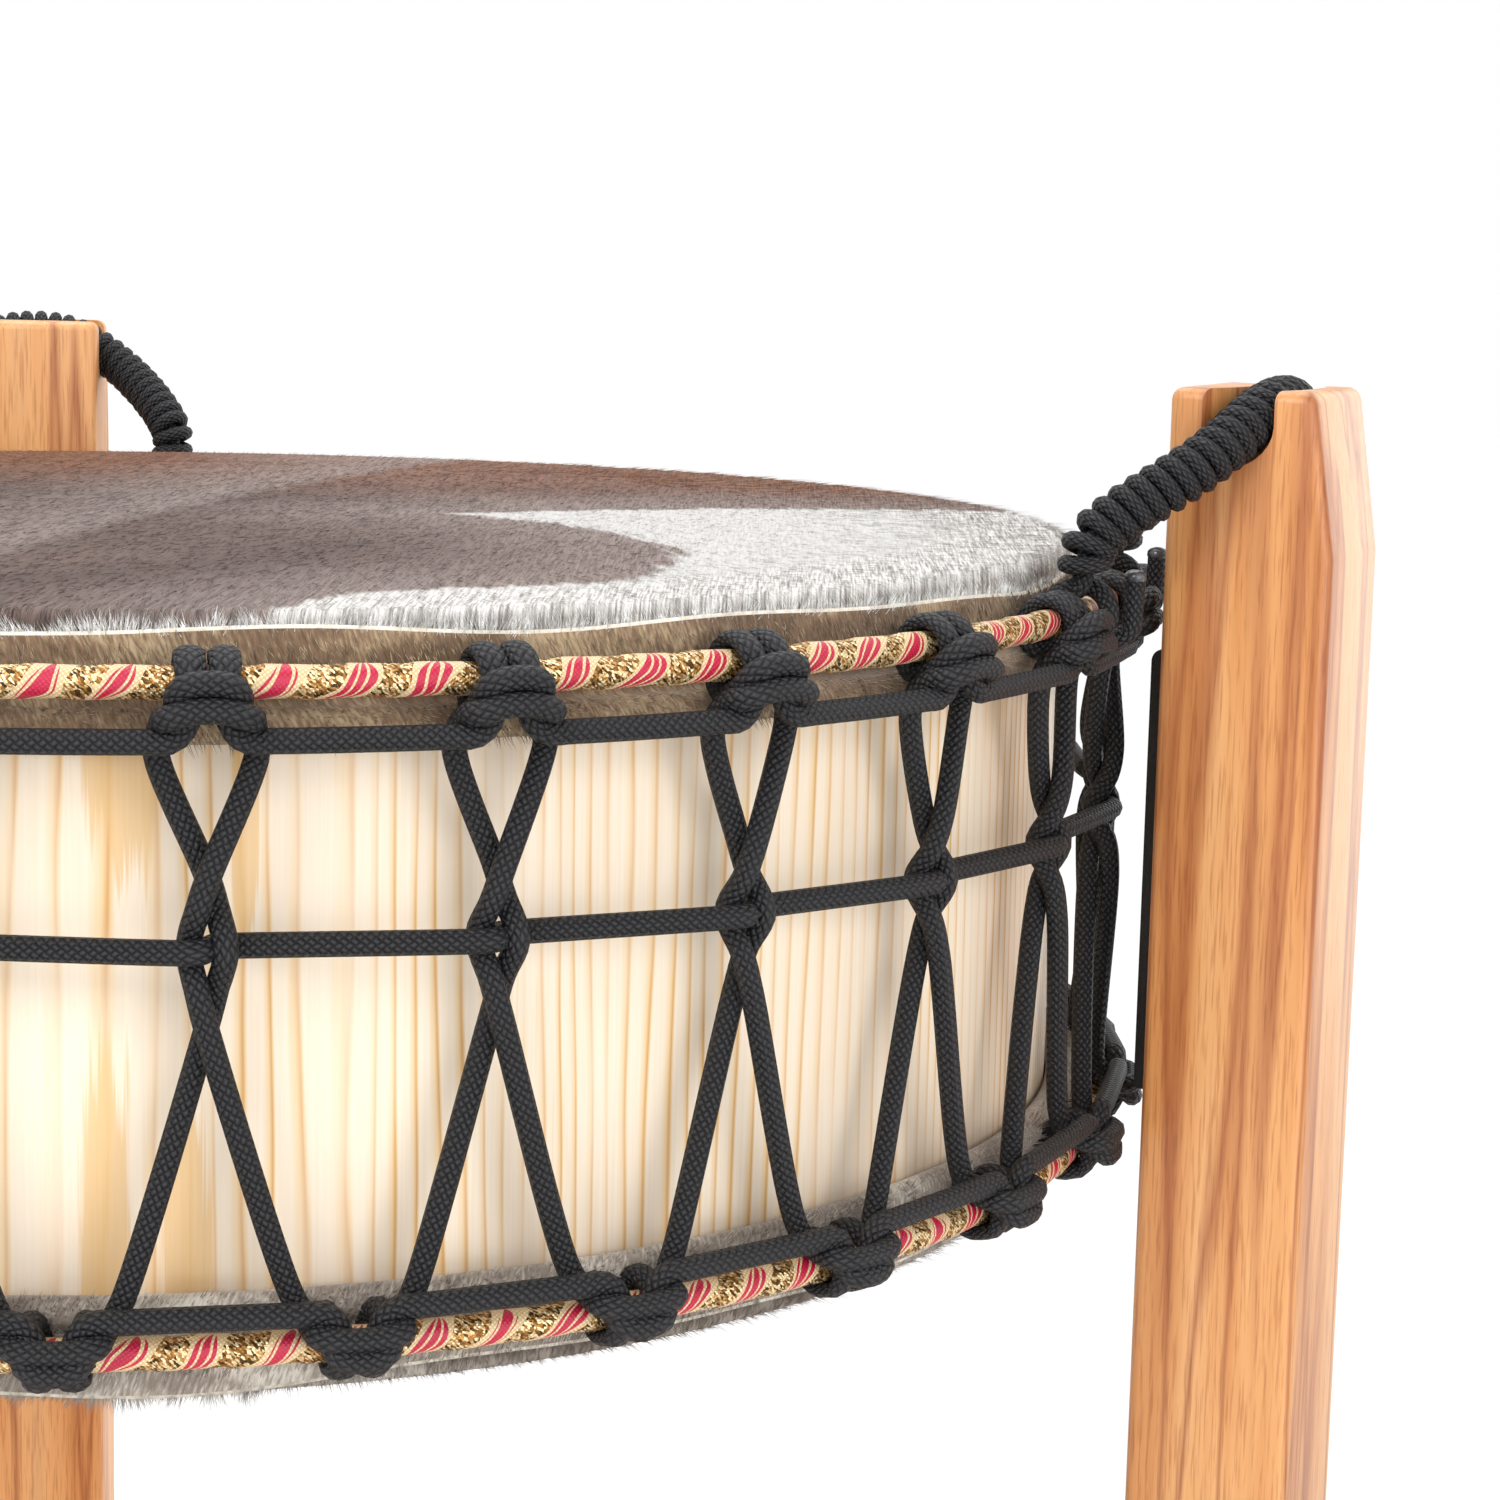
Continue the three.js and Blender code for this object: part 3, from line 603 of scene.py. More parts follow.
@dataclass(frozen=True)
class PlainStock(Finish):
    """Small pieces of one material, mottled in two tones with a fine grain."""

    name: str = "plain_stock"
    dark: str = "#141414"
    light: str = "#202020"
    grain_mm: float = 0.8
    roughness: float = 0.8
    metallic: float = 0.0

    def paint(self, add: Add) -> dict[str, object]:
        """Mottles two tones at the grain's size.

        Args:
            add: add_node for the material's tree.

        Returns:
            What goes into the shader's inputs.
        """
        spot = add("TexCoord").outputs["Object"]
        grain = add("TexNoise", spot, Scale=1 / (self.grain_mm * MM), Detail=3.0)
        return {
            "Base Color": add("ValToRGB", grain, stops=((0.35, self.dark), (0.65, self.light))),
            "Normal": add("Bump", Height=grain, Distance=0.08 * MM, Strength=0.5),
            "Roughness": self.roughness,
            "Metallic": self.metallic,
        }


CORD = BraidedCord()
PINE = OiledPine()
TEAK = VarnishedTeak()
# Painted light: the back post gets paler, yellower teak colours, standing in for the brighter light on it.
PAINTED_LIGHT_TEAK = VarnishedTeak("varnished_teak_painted_light", "#f0b174", "#e29b5d", "#bd743c", "#a95b2d")
BROCADE = BrocadeStrip()
TOP_HAIR = HairedHide()
# Single hairs that lie on the hide catch more light than the hide between them.
COAT = replace(
    TOP_HAIR,
    name="haired_hide_coat",
    dark="#7e675c",
    mid="#958076",
    light="#ac998f",
    brown="#ab7c5e",
    greying_and_sheen="#c9bdb7",
    turned_shade="#523529",
    white="#fdfdfb",
    shadow="#fdfdfb",
    sleek="#e4e4e2",
)
# The tufts that stand up out of the fold are white along the front.
TUFTS = replace(COAT, name="haired_hide_tufts", white_rim=0.2300)
LOW_HAIR = PaleHide()
LOW_TUFTS = PaleHide("haired_hide_low_tufts", "#ddd6ce", "#85796f")
FOLD = FoldedHide()
LOW_FOLD = FoldedHide("folded_hide_edge_low", "#6b6058", "#968b80", "#cfc8be")
# The knife's cut through rawhide: a matt cream line, greyer on the lower hide.
CUT_EDGE = PlainStock("hide_cut_edge", "#ddd3bf", "#f5f0e6", 1.5, 0.8)
LOW_CUT_EDGE = PlainStock("hide_cut_edge_low", "#a39a8c", "#d3cbbe", 1.5, 0.8)
# Moulded rubber: near black, matt, slightly pitted.
RUBBER = PlainStock("black_rubber", "#111112", "#1d1d1f", 0.8, 0.75)
# Bright zinc plate: a grey metal with a faint bloom.
STEEL = PlainStock("zinc_plated_steel", "#8f9194", "#b4b6b8", 0.6, 0.35, 1.0)
# Turned beech with no finish: pale and dry, with small flecks.
BEECH = PlainStock("raw_beech", "#cfae80", "#e0c39a", 0.9, 0.6)
# Polyester that a flame melted and left glossy, with grey streaks.
MELTED = PlainStock("melted_cord_end", "#202123", "#5d5e62", 2.5, 0.16)
# Short dry hairs on the folds, in tufts of brown and straw or of greys.
NAP = PlainStock("short_brown_nap", "#7a6552", "#cbbb9e", 6.0, 0.85)
LOW_NAP = PlainStock("short_grey_nap", "#857b70", "#ddd7cd", 9.0, 0.85)


@dataclass(frozen=True)
class HeadDress:
    """The material slot and the finishes of one head."""

    slot: str
    hair: Finish
    fold: Finish
    edge: Finish
    tufts: Finish
    coat: Finish
    nap: Finish


HEAD_DRESS = {
    Side.TOP: HeadDress("hair_hide", TOP_HAIR, FOLD, CUT_EDGE, TUFTS, COAT, NAP),
    Side.BOTTOM: HeadDress("pale_hide", LOW_HAIR, LOW_FOLD, LOW_CUT_EDGE, LOW_TUFTS, LOW_HAIR, LOW_NAP),
}


def put_in(name: str, data: bpy.types.ID) -> Piece:
    """Puts a new object into the scene, at the origin.

    Args:
        name: the object's name.
        data: its mesh, lamp or camera.

    Returns:
        The object.
    """
    piece = bpy.data.objects.new(name, data)
    bpy.context.scene.collection.objects.link(piece)
    return piece


def placed_copy(first: Piece, name: str, place: Matrix) -> Piece:
    """Copies a model, with a mesh of its own, to its place.

    Args:
        first: the model.
        name: the copy's name.
        place: how its mesh is moved.

    Returns:
        The copy.
    """
    piece = put_in(name, first.data.copy())
    piece.data.transform(place)
    return piece


def from_arrays(name: str, points: np.ndarray, faces: list, uvs: np.ndarray | None = None) -> Piece:
    """Makes a smooth mesh object.

    Args:
        name: the piece's name.
        points: its vertices in metres.
        faces: vertex numbers of each face.
        uvs: one UV pair for each face corner, in order.

    Returns:
        The new object.
    """
    mesh = bpy.data.meshes.new(name)
    mesh.from_pydata(points.tolist(), [], faces)
    if uvs is not None:
        layer = mesh.uv_layers.new(name="UVMap")
        layer.data.foreach_set("uv", np.asarray(uvs, dtype=np.float32).ravel())
    mesh.polygons.foreach_set("use_smooth", [True] * len(mesh.polygons))
    mesh.update()
    return put_in(name, mesh)


def dress(piece: Piece, *finishes: Finish) -> None:
    """Gives a piece its finishes.

    Args:
        piece: the object.
        finishes: one for each of its material slots.
    """
    piece.data.materials.clear()
    for finish in finishes:
        piece.data.materials.append(finish.material())


def hand_in(piece: Piece, body: Body, slot: str, finish: Finish | None, *nodes: str) -> None:
    """Dresses a piece and ties it to the frame.

    Args:
        piece: the object.
        body: what it moves with.
        slot: a material slot's name; not used.
        finish: its material, or None where it has its own already.
        nodes: the CAD nodes that it stands for.
    """
    if finish:
        dress(piece, finish)
    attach(piece, body.value)
    if nodes:
        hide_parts(*nodes)
    LOG.info("%s: %d faces", piece.name, len(piece.data.polygons))


def unit(ways: np.ndarray) -> np.ndarray:
    """Scales each row to a length of one."""
    return ways / np.linalg.norm(ways, axis=1, keepdims=True)


def smooth_route(points: np.ndarray, step: float, closed: bool) -> np.ndarray:
    """Runs an even, smooth line through points: a centripetal curve, divided into equal steps.

    Args:
        points: the route's points.
        step: distance between the points of the line.
        closed: whether the end joins the start.

    Returns:
        The line's points, a closed line's start not repeated.
    """
    if closed:
        knots = np.vstack([points[-1:], points, points[:2]])
    else:
        knots = np.vstack([2 * points[:1] - points[1:2], points, 2 * points[-1:] - points[-2:-1]])
    line = []
    for i in range(len(knots) - 3):
        a, b, c, d = knots[i : i + 4]
        t1 = math.sqrt(np.linalg.norm(b - a))
        t2 = t1 + math.sqrt(np.linalg.norm(c - b))
        t3 = t2 + math.sqrt(np.linalg.norm(d - c))
        count = max(3, math.ceil(3 * np.linalg.norm(c - b) / step))
        t = np.linspace(t1, t2, count, endpoint=False)[:, None]
        ab = (t1 - t) / t1 * a + t / t1 * b
        bc = (t2 - t) / (t2 - t1) * b + (t - t1) / (t2 - t1) * c
        cd = (t3 - t) / (t3 - t2) * c + (t - t2) / (t3 - t2) * d
        abc = (t2 - t) / t2 * ab + t / t2 * bc
        bcd = (t3 - t) / (t3 - t1) * bc + (t - t1) / (t3 - t1) * cd
        line.append((t2 - t) / (t2 - t1) * abc + (t - t1) / (t2 - t1) * bcd)
    fine = np.vstack(line + [points[:1] if closed else points[-1:]])
    run = run_along(fine)
    count = max(4, round(run[-1] / step))
    marks = np.linspace(0, run[-1], count + 1)
    even = np.stack([np.interp(marks, run, fine[:, axis]) for axis in range(3)], axis=1)
    return even[:-1] if closed else even


def run_along(line: np.ndarray) -> np.ndarray:
    """Gives the distance from a line's start to each of its points."""
    return np.concatenate([[0], np.cumsum(np.linalg.norm(np.diff(line, axis=0), axis=1))])


def directions(line: np.ndarray, closed: bool) -> np.ndarray:
    """Gives the unit direction of a line at each of its points.

    Args:
        line: the line's points.
        closed: whether the end joins the start.

    Returns:
        One direction for each point.
    """
    if closed:
        return unit(np.roll(line, -1, axis=0) - np.roll(line, 1, axis=0))
    return unit(np.gradient(line, axis=0))


def carried_normals(ways: np.ndarray, closed: bool) -> np.ndarray:
    """Carries a sideways direction along a line without twist.

    Args:
        ways: the line's directions.
        closed: whether what is left over after a lap is shared out.

    Returns:
        A unit normal for each point.
    """
    start = np.cross([0.0, 0.0, 1.0], ways[0])
    if np.linalg.norm(start) < 1e-3:
        start = np.array([1.0, 0.0, 0.0])
    normals = [start / np.linalg.norm(start)]
    for way in ways[1:]:
        side = normals[-1] - way * np.dot(normals[-1], way)
        normals.append(side / np.linalg.norm(side))
    out = np.array(normals)
    if closed:
        back = out[-1] - ways[0] * np.dot(out[-1], ways[0])
        left = math.atan2(np.dot(np.cross(back, out[0]), ways[0]), np.dot(back, out[0]))
        turn = (left * np.arange(len(out)) / len(out))[:, None]
        out = out * np.cos(turn) + np.cross(ways, out) * np.sin(turn)
    return out


def skin_faces(count: int, sides: int, closed: bool) -> list[list[int]]:
    """Joins sections that follow each other.

    Args:
        count: how many sections there are.
        sides: corners of each.
        closed: whether the last joins the first. Where it does not, both ends get a face.

    Returns:
        Vertex numbers of each face.
    """
    spans = count if closed else count - 1
    i = np.repeat(np.arange(spans), sides)
    j = np.tile(np.arange(sides), spans)
    k = (j + 1) % sides
    n = (i + 1) % count
    faces = np.stack([i * sides + j, i * sides + k, n * sides + k, n * sides + j], axis=1).tolist()
    if not closed:
        faces.append(list(range(sides - 1, -1, -1)))
        faces.append(list(range((count - 1) * sides, count * sides)))
    return faces


def tube(name: str, line: np.ndarray, radius: float | np.ndarray, sides: int, closed: bool) -> Piece:
    """Sweeps a round section along a line.

    Args:
        name: the piece's name.
        line: its centreline in metres.
        radius: one radius, or one for each point and side.
        sides: corners of the section.
        closed: whether the end joins the start.

    Returns:
        The tube, with UVs of turns round it and metres along it.
    """
    count = len(line)
    ways = directions(line, closed)
    normals = carried_normals(ways, closed)
    across = np.cross(ways, normals)
    angles = (np.arange(sides) * TAU / sides)[None, :, None]
    wide = np.broadcast_to(np.asarray(radius, dtype=float), (count, sides))[:, :, None]
    ring = normals[:, None, :] * np.cos(angles) + across[:, None, :] * np.sin(angles)
    points = (line[:, None, :] + wide * ring).reshape(-1, 3)
    run = run_along(np.vstack([line, line[:1]]))
    spans = count if closed else count - 1
    i = np.repeat(np.arange(spans), sides)
    j = np.tile(np.arange(sides), spans)
    low, high = run[i], run[i + 1]
    left, right = j / sides, (j + 1) / sides
    uvs = np.stack([left, low, right, low, right, high, left, high], axis=1).reshape(-1, 2)
    if not closed:
        uvs = np.vstack([uvs, np.zeros((2 * sides, 2))])
    return from_arrays(name, points, skin_faces(count, sides, closed), uvs)


@dataclass(frozen=True)
class DrumSizes:
    """Sizes in millimetres that the pieces of the drum share with the frame."""

    hitches: int = 27
    hoop_radius: float = 250.0
    hoop_spacing: float = 134.0
    hoop_thickness: float = 7.2
    fit: float = 0.3
    centre: float = 439.0
    waist: float = 14.6
    shell_radius: float = 237.29
    shell_half: float = 72.2

    @property
    def pitch(self) -> float:
        """Angle from one hitch to the next."""
        return TAU / self.hitches

    def on_drum(self, angle: float, radius: float, height: float) -> Point:
        """A point by angle from the front, distance from the axis and height over the drum's middle."""
        return radius * math.sin(angle), -radius * math.cos(angle), self.centre + height

    def by_hoop(self, side: int, angle: float, along: float, out: float, rise: float) -> Point:
        """A point by a hoop: place along it, distance out of its centreline and over its plane."""
        height = side * (self.hoop_spacing / 2 + rise)
        return self.on_drum(angle + along / self.hoop_radius, self.hoop_radius + out, height)


SIZES = DrumSizes()


def both_halves(half: list[Point]) -> list[Point]:
    """Adds the mirror image of a hitch's right half, which is given from its end to its middle."""
    return [(-along, out, rise) for along, out, rise in half] + half[::-1]


@dataclass
class RopeWork:
    """The black cords that pull the two heads together."""

    thickness: float = 5.2
    step: float = 1.8
    sides: int = 10
    strand_out: float = 0.6
    cross_out: float = 2.7
    waist_place: float = 3.5
    stagger: float = 2.0
    pass_over: float = 3.1
    closer: dict[Side, float] = field(default_factory=lambda: {Side.TOP: 1.2, Side.BOTTOM: 3.2})
    front: dict[Side, float] = field(default_factory=lambda: {Side.TOP: 0.4, Side.BOTTOM: -0.4})

    def hitch(self, side: Side) -> list[Point]:
        """The cradle cord's way through one hitch.

        Args:
            side: which end of the drum.

        Returns:
            Points as place along the hoop, distance out of it and height over it.
        """
        bar = [(12.5, 6.4, -11.8), (6.9, 6.6, -11.6), (4.2, 6.6, -8.8), (3.2, 6.3, -3.0)]
        rise = [(3.25, 5.0, 2.4)]
        over = [(3.3, 2.6, 4.8), (3.3, -0.5, 5.5), (3.4, -3.9, 4.0), (3.8, -5.7, 0.4)]
        under = [(4.7, -4.7, -4.0), (5.5, -1.0, -6.3), (5.8, 4.4, -4.7)]
        bight = [(5.8, 8.1, -2.1), (4.7, 10.2, -0.2), (2.5, 10.8, 0.6)]
        near = self.closer[side]
        pulls = [(bar, near), (rise, near / 2), (over + under, 0.0), (bight, self.front[side])]
        return both_halves([(along, out, up + pull) for run, pull in pulls for along, out, up in run])

    def bight(self, side: Side) -> list[Point]:
        """The lacing's way over one hitch, as the cradle cord's is given.

        Args:
            side: which end of the drum.

        Returns:
            Points as place along the hoop, distance out of it and height over it.
        """
        if side is Side.TOP:
            legs = [(9.6, 0.6, -14.0), (9.2, 1.6, -9.8), (8.4, 5.0, -6.7)]
            return both_halves([*legs, (8.0, 8.8, -6.0), (6.3, 11.1, -5.1), (3.0, 11.6, -4.1)])
        legs = [(12.8, 0.6, -11.6), (10.6, 1.6, -7.4), (8.8, 5.0, -4.8)]
        return both_halves([*legs, (8.3, 8.6, -4.4), (6.4, 10.4, -4.2), (3.0, 10.8, -4.0)])

    def cord(self, name: str, points: list[Point], pressed: Side | None = None) -> Piece:
        """Sweeps a closed cord along points in millimetres.

        Args:
            name: the cord's name.
            points: its route.
            pressed: the end of the drum whose hoop flattens it.

        Returns:
            The cord.
        """
        line = smooth_route(np.array(points), self.step, True) * MM
        piece = tube(name, line, self.thickness / 2 * MM, self.sides, True)
        if pressed:
            self.press(piece, line, pressed)
        return piece

    def cradle(self, side: Side) -> Piece:
        """Models the cord along one crown hoop.

        Args:
            side: which end of the drum.

        Returns:
            The cord.
        """
        offset = 0.0 if side is Side.TOP else 0.5
        places = [(k + offset) * SIZES.pitch for k in range(SIZES.hitches)]
        points = [SIZES.by_hoop(side.value, place, *spot) for place in places for spot in self.hitch(side)]
        return self.cord(f"cradle_cord_{side.word}", points, side)

    def press(self, piece: Piece, line: np.ndarray, side: Side) -> None:
        """Flattens the cord where it is pulled down on the hoop.

        Args:
            piece: the cord.
            line: its centreline in metres.
            side: the hoop's end of the drum.
        """
        thinner, wider = -0.3, 0.25
        full_rise, front = 3 * MM, 8 * MM
        flat = np.empty(3 * len(piece.data.vertices))
        piece.data.vertices.foreach_get("co", flat)
        skin = flat.reshape(len(line), self.sides, 3)
        radius = np.hypot(line[:, 0], line[:, 1])
        out = radius - SIZES.hoop_radius * MM
        rise = side.value * (line[:, 2] - SIZES.centre * MM) - SIZES.hoop_spacing / 2 * MM
        share = np.clip(rise / full_rise, 0.0, 1.0) * (out < front)
        x, y = line[:, 0] / radius, line[:, 1] / radius
        away = unit(np.column_stack([x * out, y * out, side.value * rise]))
        along = np.column_stack([-y, x, np.zeros(len(line))])
        bulge = skin - line[:, None, :]
        for way, amount in ((away, thinner), (along, wider)):
            part = (bulge * way[:, None, :]).sum(axis=2) * amount * share[:, None]
            skin += part[:, :, None] * way[:, None, :]
        piece.data.vertices.foreach_set("co", skin.ravel())
        piece.data.update()

    def strand(self, angle: float, over: int) -> list[Point]:
        """One strand of a twisted pair, from the upper hitch down to below the waist.

        Args:
            angle: the pair's place round the drum.
            over: 1 for the strand that crosses in front, -1 for the other.

        Returns:
            The strand's points.
        """
        radius = SIZES.hoop_radius + self.strand_out
        upper = [(0.0, self.cross_out, 14.4), (1.9, 1.8, 8.0), (self.waist_place, -self.stagger, 0.0)]
        lower = [(1.9, 1.8, -8.4), (0.0, self.cross_out, -16.2)]
        return [
            SIZES.on_drum(angle - over * along / SIZES.hoop_radius, radius + over * out, SIZES.waist + rise)
            for along, out, rise in upper + lower
        ]

    def lacing(self) -> Piece:
        """Models the one cord that goes up and down between the hoops.

        Returns:
            The cord.
        """
        points = []
        for k in range(SIZES.hitches):
            angle = k * SIZES.pitch
            points += self.strand(angle, -1)[::-1]
            points += [SIZES.by_hoop(1, angle, *spot) for spot in self.bight(Side.TOP)]
            points += self.strand(angle, 1)
            low = angle + SIZES.pitch / 2
            points += [SIZES.by_hoop(-1, low, *spot) for spot in self.bight(Side.BOTTOM)]
        return self.cord("lacing_cord", points)

    def waist(self) -> Piece:
        """Models the cord round the drum's middle, in front of one strand of each pair and behind the other.

        Returns:
            The cord.
        """
        weave = [(-1.0, 1.0), (-0.45, 0.9), (0.45, -0.9), (1.0, -1.0)]
        radius = SIZES.hoop_radius + self.strand_out
        points = []
        for k in range(SIZES.hitches):
            for along, out in weave:
                angle = k * SIZES.pitch + along * self.waist_place / SIZES.hoop_radius
                points.append(SIZES.on_drum(angle, radius + out * self.pass_over, SIZES.waist))
        return self.cord("waist_cord", points)

    def build(self) -> None:
        """Models all four cords, gives them their finish and ties them to the drum."""
        for side in Side:
            hand_in(self.cradle(side), Body.DRUM, "cord", CORD, f"cradle_rope_{side.word}")
        hand_in(self.lacing(), Body.DRUM, "cord", CORD, "lacing_rope")
        hand_in(self.waist(), Body.DRUM, "cord", CORD, "waist_rope")


@dataclass
class RopeLoops:
    """The wound loops that the drum hangs by, one over each post."""

    post_turn: float = math.radians(13.3)
    first_hitch: int = 5
    post_radius: float = 290.2
    post_width: float = 45.0
    post_height: float = 560.0
    notch_radius: float = 8.2
    notch_depth: float = 12.5
    tie_place: float = 18.26
    tie_reach: float = 6.7
    tie_lay: float = 5.4
    tie_points: int = 18
    points_a_turn: int = 12
    leg_out: float = 2.88
    leg_rise: float = 17.82
    core_thickness: float = 5.0
    core_sides: int = 12
    core_step: float = 1.2
    leg_step: float = 3.0
    winding_radius: float = 4.8
    winding_thickness: float = 4.3
    winding_step: float = 4.4
    winding_sides: int = 9
    winding_points: int = 18
    wrap_out: float = 1.2
    wrap_rise: float = 10.0
    wrap_step: float = 0.25
    inset: float = 0.5

    def turn_to_arm(self, number: int) -> Matrix:
        """The turn from the front to one arm of the stand."""
        return Matrix.Rotation(self.arm_angle(number), 4, "Z")

    def arm_angle(self, number: int) -> float:
        """The angle of one arm of the stand."""
        return self.first_hitch * SIZES.pitch - self.post_turn + (number - 1) * TAU / 3

    def by_hitch(self, side: int, along: float, out: float, rise: float) -> Point:
        """A point by the upper hoop, from the hitch on one side of the post, in the frame of its arm."""
        return SIZES.by_hoop(1, self.post_turn + side * SIZES.pitch, along, out, rise)

    def post_middle(self) -> tuple[float, float]:
        """How far the post's middle lies across its arm and along it."""
        return self.post_radius * math.sin(self.post_turn), self.post_radius * math.cos(self.post_turn)

    def tie(self, side: int) -> list[Point]:
        """The loop's turns round the hoop and its tail.

        Args:
            side: -1 or 1, the side of the post.

        Returns:
            Points from the leg to the tail's end.
        """
        points = []
        for i in range(self.tie_points + 1):
            angle = math.pi / 2 + TAU * i / self.points_a_turn
            along = -side * (self.tie_place + i / self.points_a_turn * self.tie_lay)
            out, rise = self.tie_reach * math.cos(angle), self.tie_reach * math.sin(angle)
            points.append(self.by_hitch(side, along, out, rise))
        end = -side * (self.tie_place + (self.tie_points + 2) / self.points_a_turn * self.tie_lay)
        tail = ((10.6, -4.4), (11.4, 1.0), (11.6, 8.4))
        return points + [self.by_hitch(side, end, out, rise) for out, rise in tail]

    def over_post(self) -> list[Point]:
        """The loop's points from one leg over the post's notch to the other leg.

        Returns:
            The points, in the frame of the arm.
        """
        across, along = self.post_middle()
        axis = self.post_height - self.notch_depth + self.notch_radius
        mouth = self.post_width / 2 + self.notch_radius + SIZES.fit
        bend = axis - 1.5 * self.notch_radius
        seat = axis - 0.1 * self.notch_radius
        return [
            self.by_hitch(-1, self.tie_place, self.leg_out, self.leg_rise),
            (across - mouth, self.notch_radius - along, bend),
            (across - self.post_width / 4, -along, seat),
            (across + self.post_width / 4, -along, seat),
            (across + mouth, self.notch_radius - along, bend),
            self.by_hitch(1, -self.tie_place, self.leg_out, self.leg_rise),
        ]

    def core(self, number: int) -> Piece:
        """Models the loop's own cord, from tail to tail.

        Args:
            number: the post's number.

        Returns:
            The cord.
        """
        line = smooth_route(np.array(self.over_post()), self.leg_step, False)
        points = self.tie(-1)[::-1] + line.tolist() + self.tie(1)
        route = smooth_route(np.array(points), self.core_step, False) * MM
        return tube(f"loop_cord_{number}", route, self.core_thickness / 2 * MM, self.core_sides, False)

    def winding(self, number: int) -> Piece:
        """Models the cord that is wound round the loop, turn beside turn.

        Args:
            number: the post's number.

        Returns:
            The winding.
        """
        start = self.by_hitch(-1, self.tie_place, self.wrap_out, self.wrap_rise)
        end = self.by_hitch(1, -self.tie_place, self.wrap_out, self.wrap_rise)
        line = smooth_route(np.array([start, *self.over_post(), end]), self.wrap_step, False)
        run = run_along(line)
        ways = directions(line, False)
        normals = carried_normals(ways, False)
        turns = (run[-1] - 2 * self.inset) / self.winding_step
        count = int(turns * self.winding_points)
        marks = np.linspace(self.inset, run[-1] - self.inset, count)
        near = np.searchsorted(run, marks).clip(0, len(line) - 1)
        angle = (TAU * turns * np.linspace(0, 1, count))[:, None]
        across = np.cross(ways, normals)
        aside = normals[near] * np.cos(angle) + across[near] * np.sin(angle)
        route = (line[near] + self.winding_radius * aside) * MM
        radius = self.winding_thickness / 2 * MM
        return tube(f"loop_winding_cord_{number}", route, radius, self.winding_sides, False)

    def melted_end(self, number: int, side: int) -> Piece:
        """Models the glossy bead that a flame leaves on a tail's end.

        Args:
            number: the post's number.
            side: -1 or 1, the side of the post.

        Returns:
            The bead.
        """
        tail = np.array(self.tie(side)[-2:])
        way = (tail[1] - tail[0]) / np.linalg.norm(tail[1] - tail[0])
        rings = [(-0.6, 2.4), (0.2, 2.75), (1.2, 2.6), (1.9, 1.9), (2.3, 0.8)]
        line = np.array([tail[1] + way * along for along, _ in rings])
        radii = np.array([[wide] * self.core_sides for _, wide in rings])
        word = "near" if side < 0 else "far"
        return tube(f"melted_end_{word}_{number}", line * MM, radii * MM, self.core_sides, False)

    def build(self) -> None:
        """Models the loops and turns each to its post."""
        for number in ARMS:
            core, winding = self.core(number), self.winding(number)
            beads = [self.melted_end(number, side) for side in (-1, 1)]
            for piece in [core, winding, *beads]:
                piece.data.transform(self.turn_to_arm(number))
            hand_in(core, Body.DRUM, "cord", CORD, f"loop_rope_{number}")
            hand_in(winding, Body.DRUM, "cord", CORD, f"loop_winding_{number}")
            for bead in beads:
                hand_in(bead, Body.DRUM, "cord", MELTED)


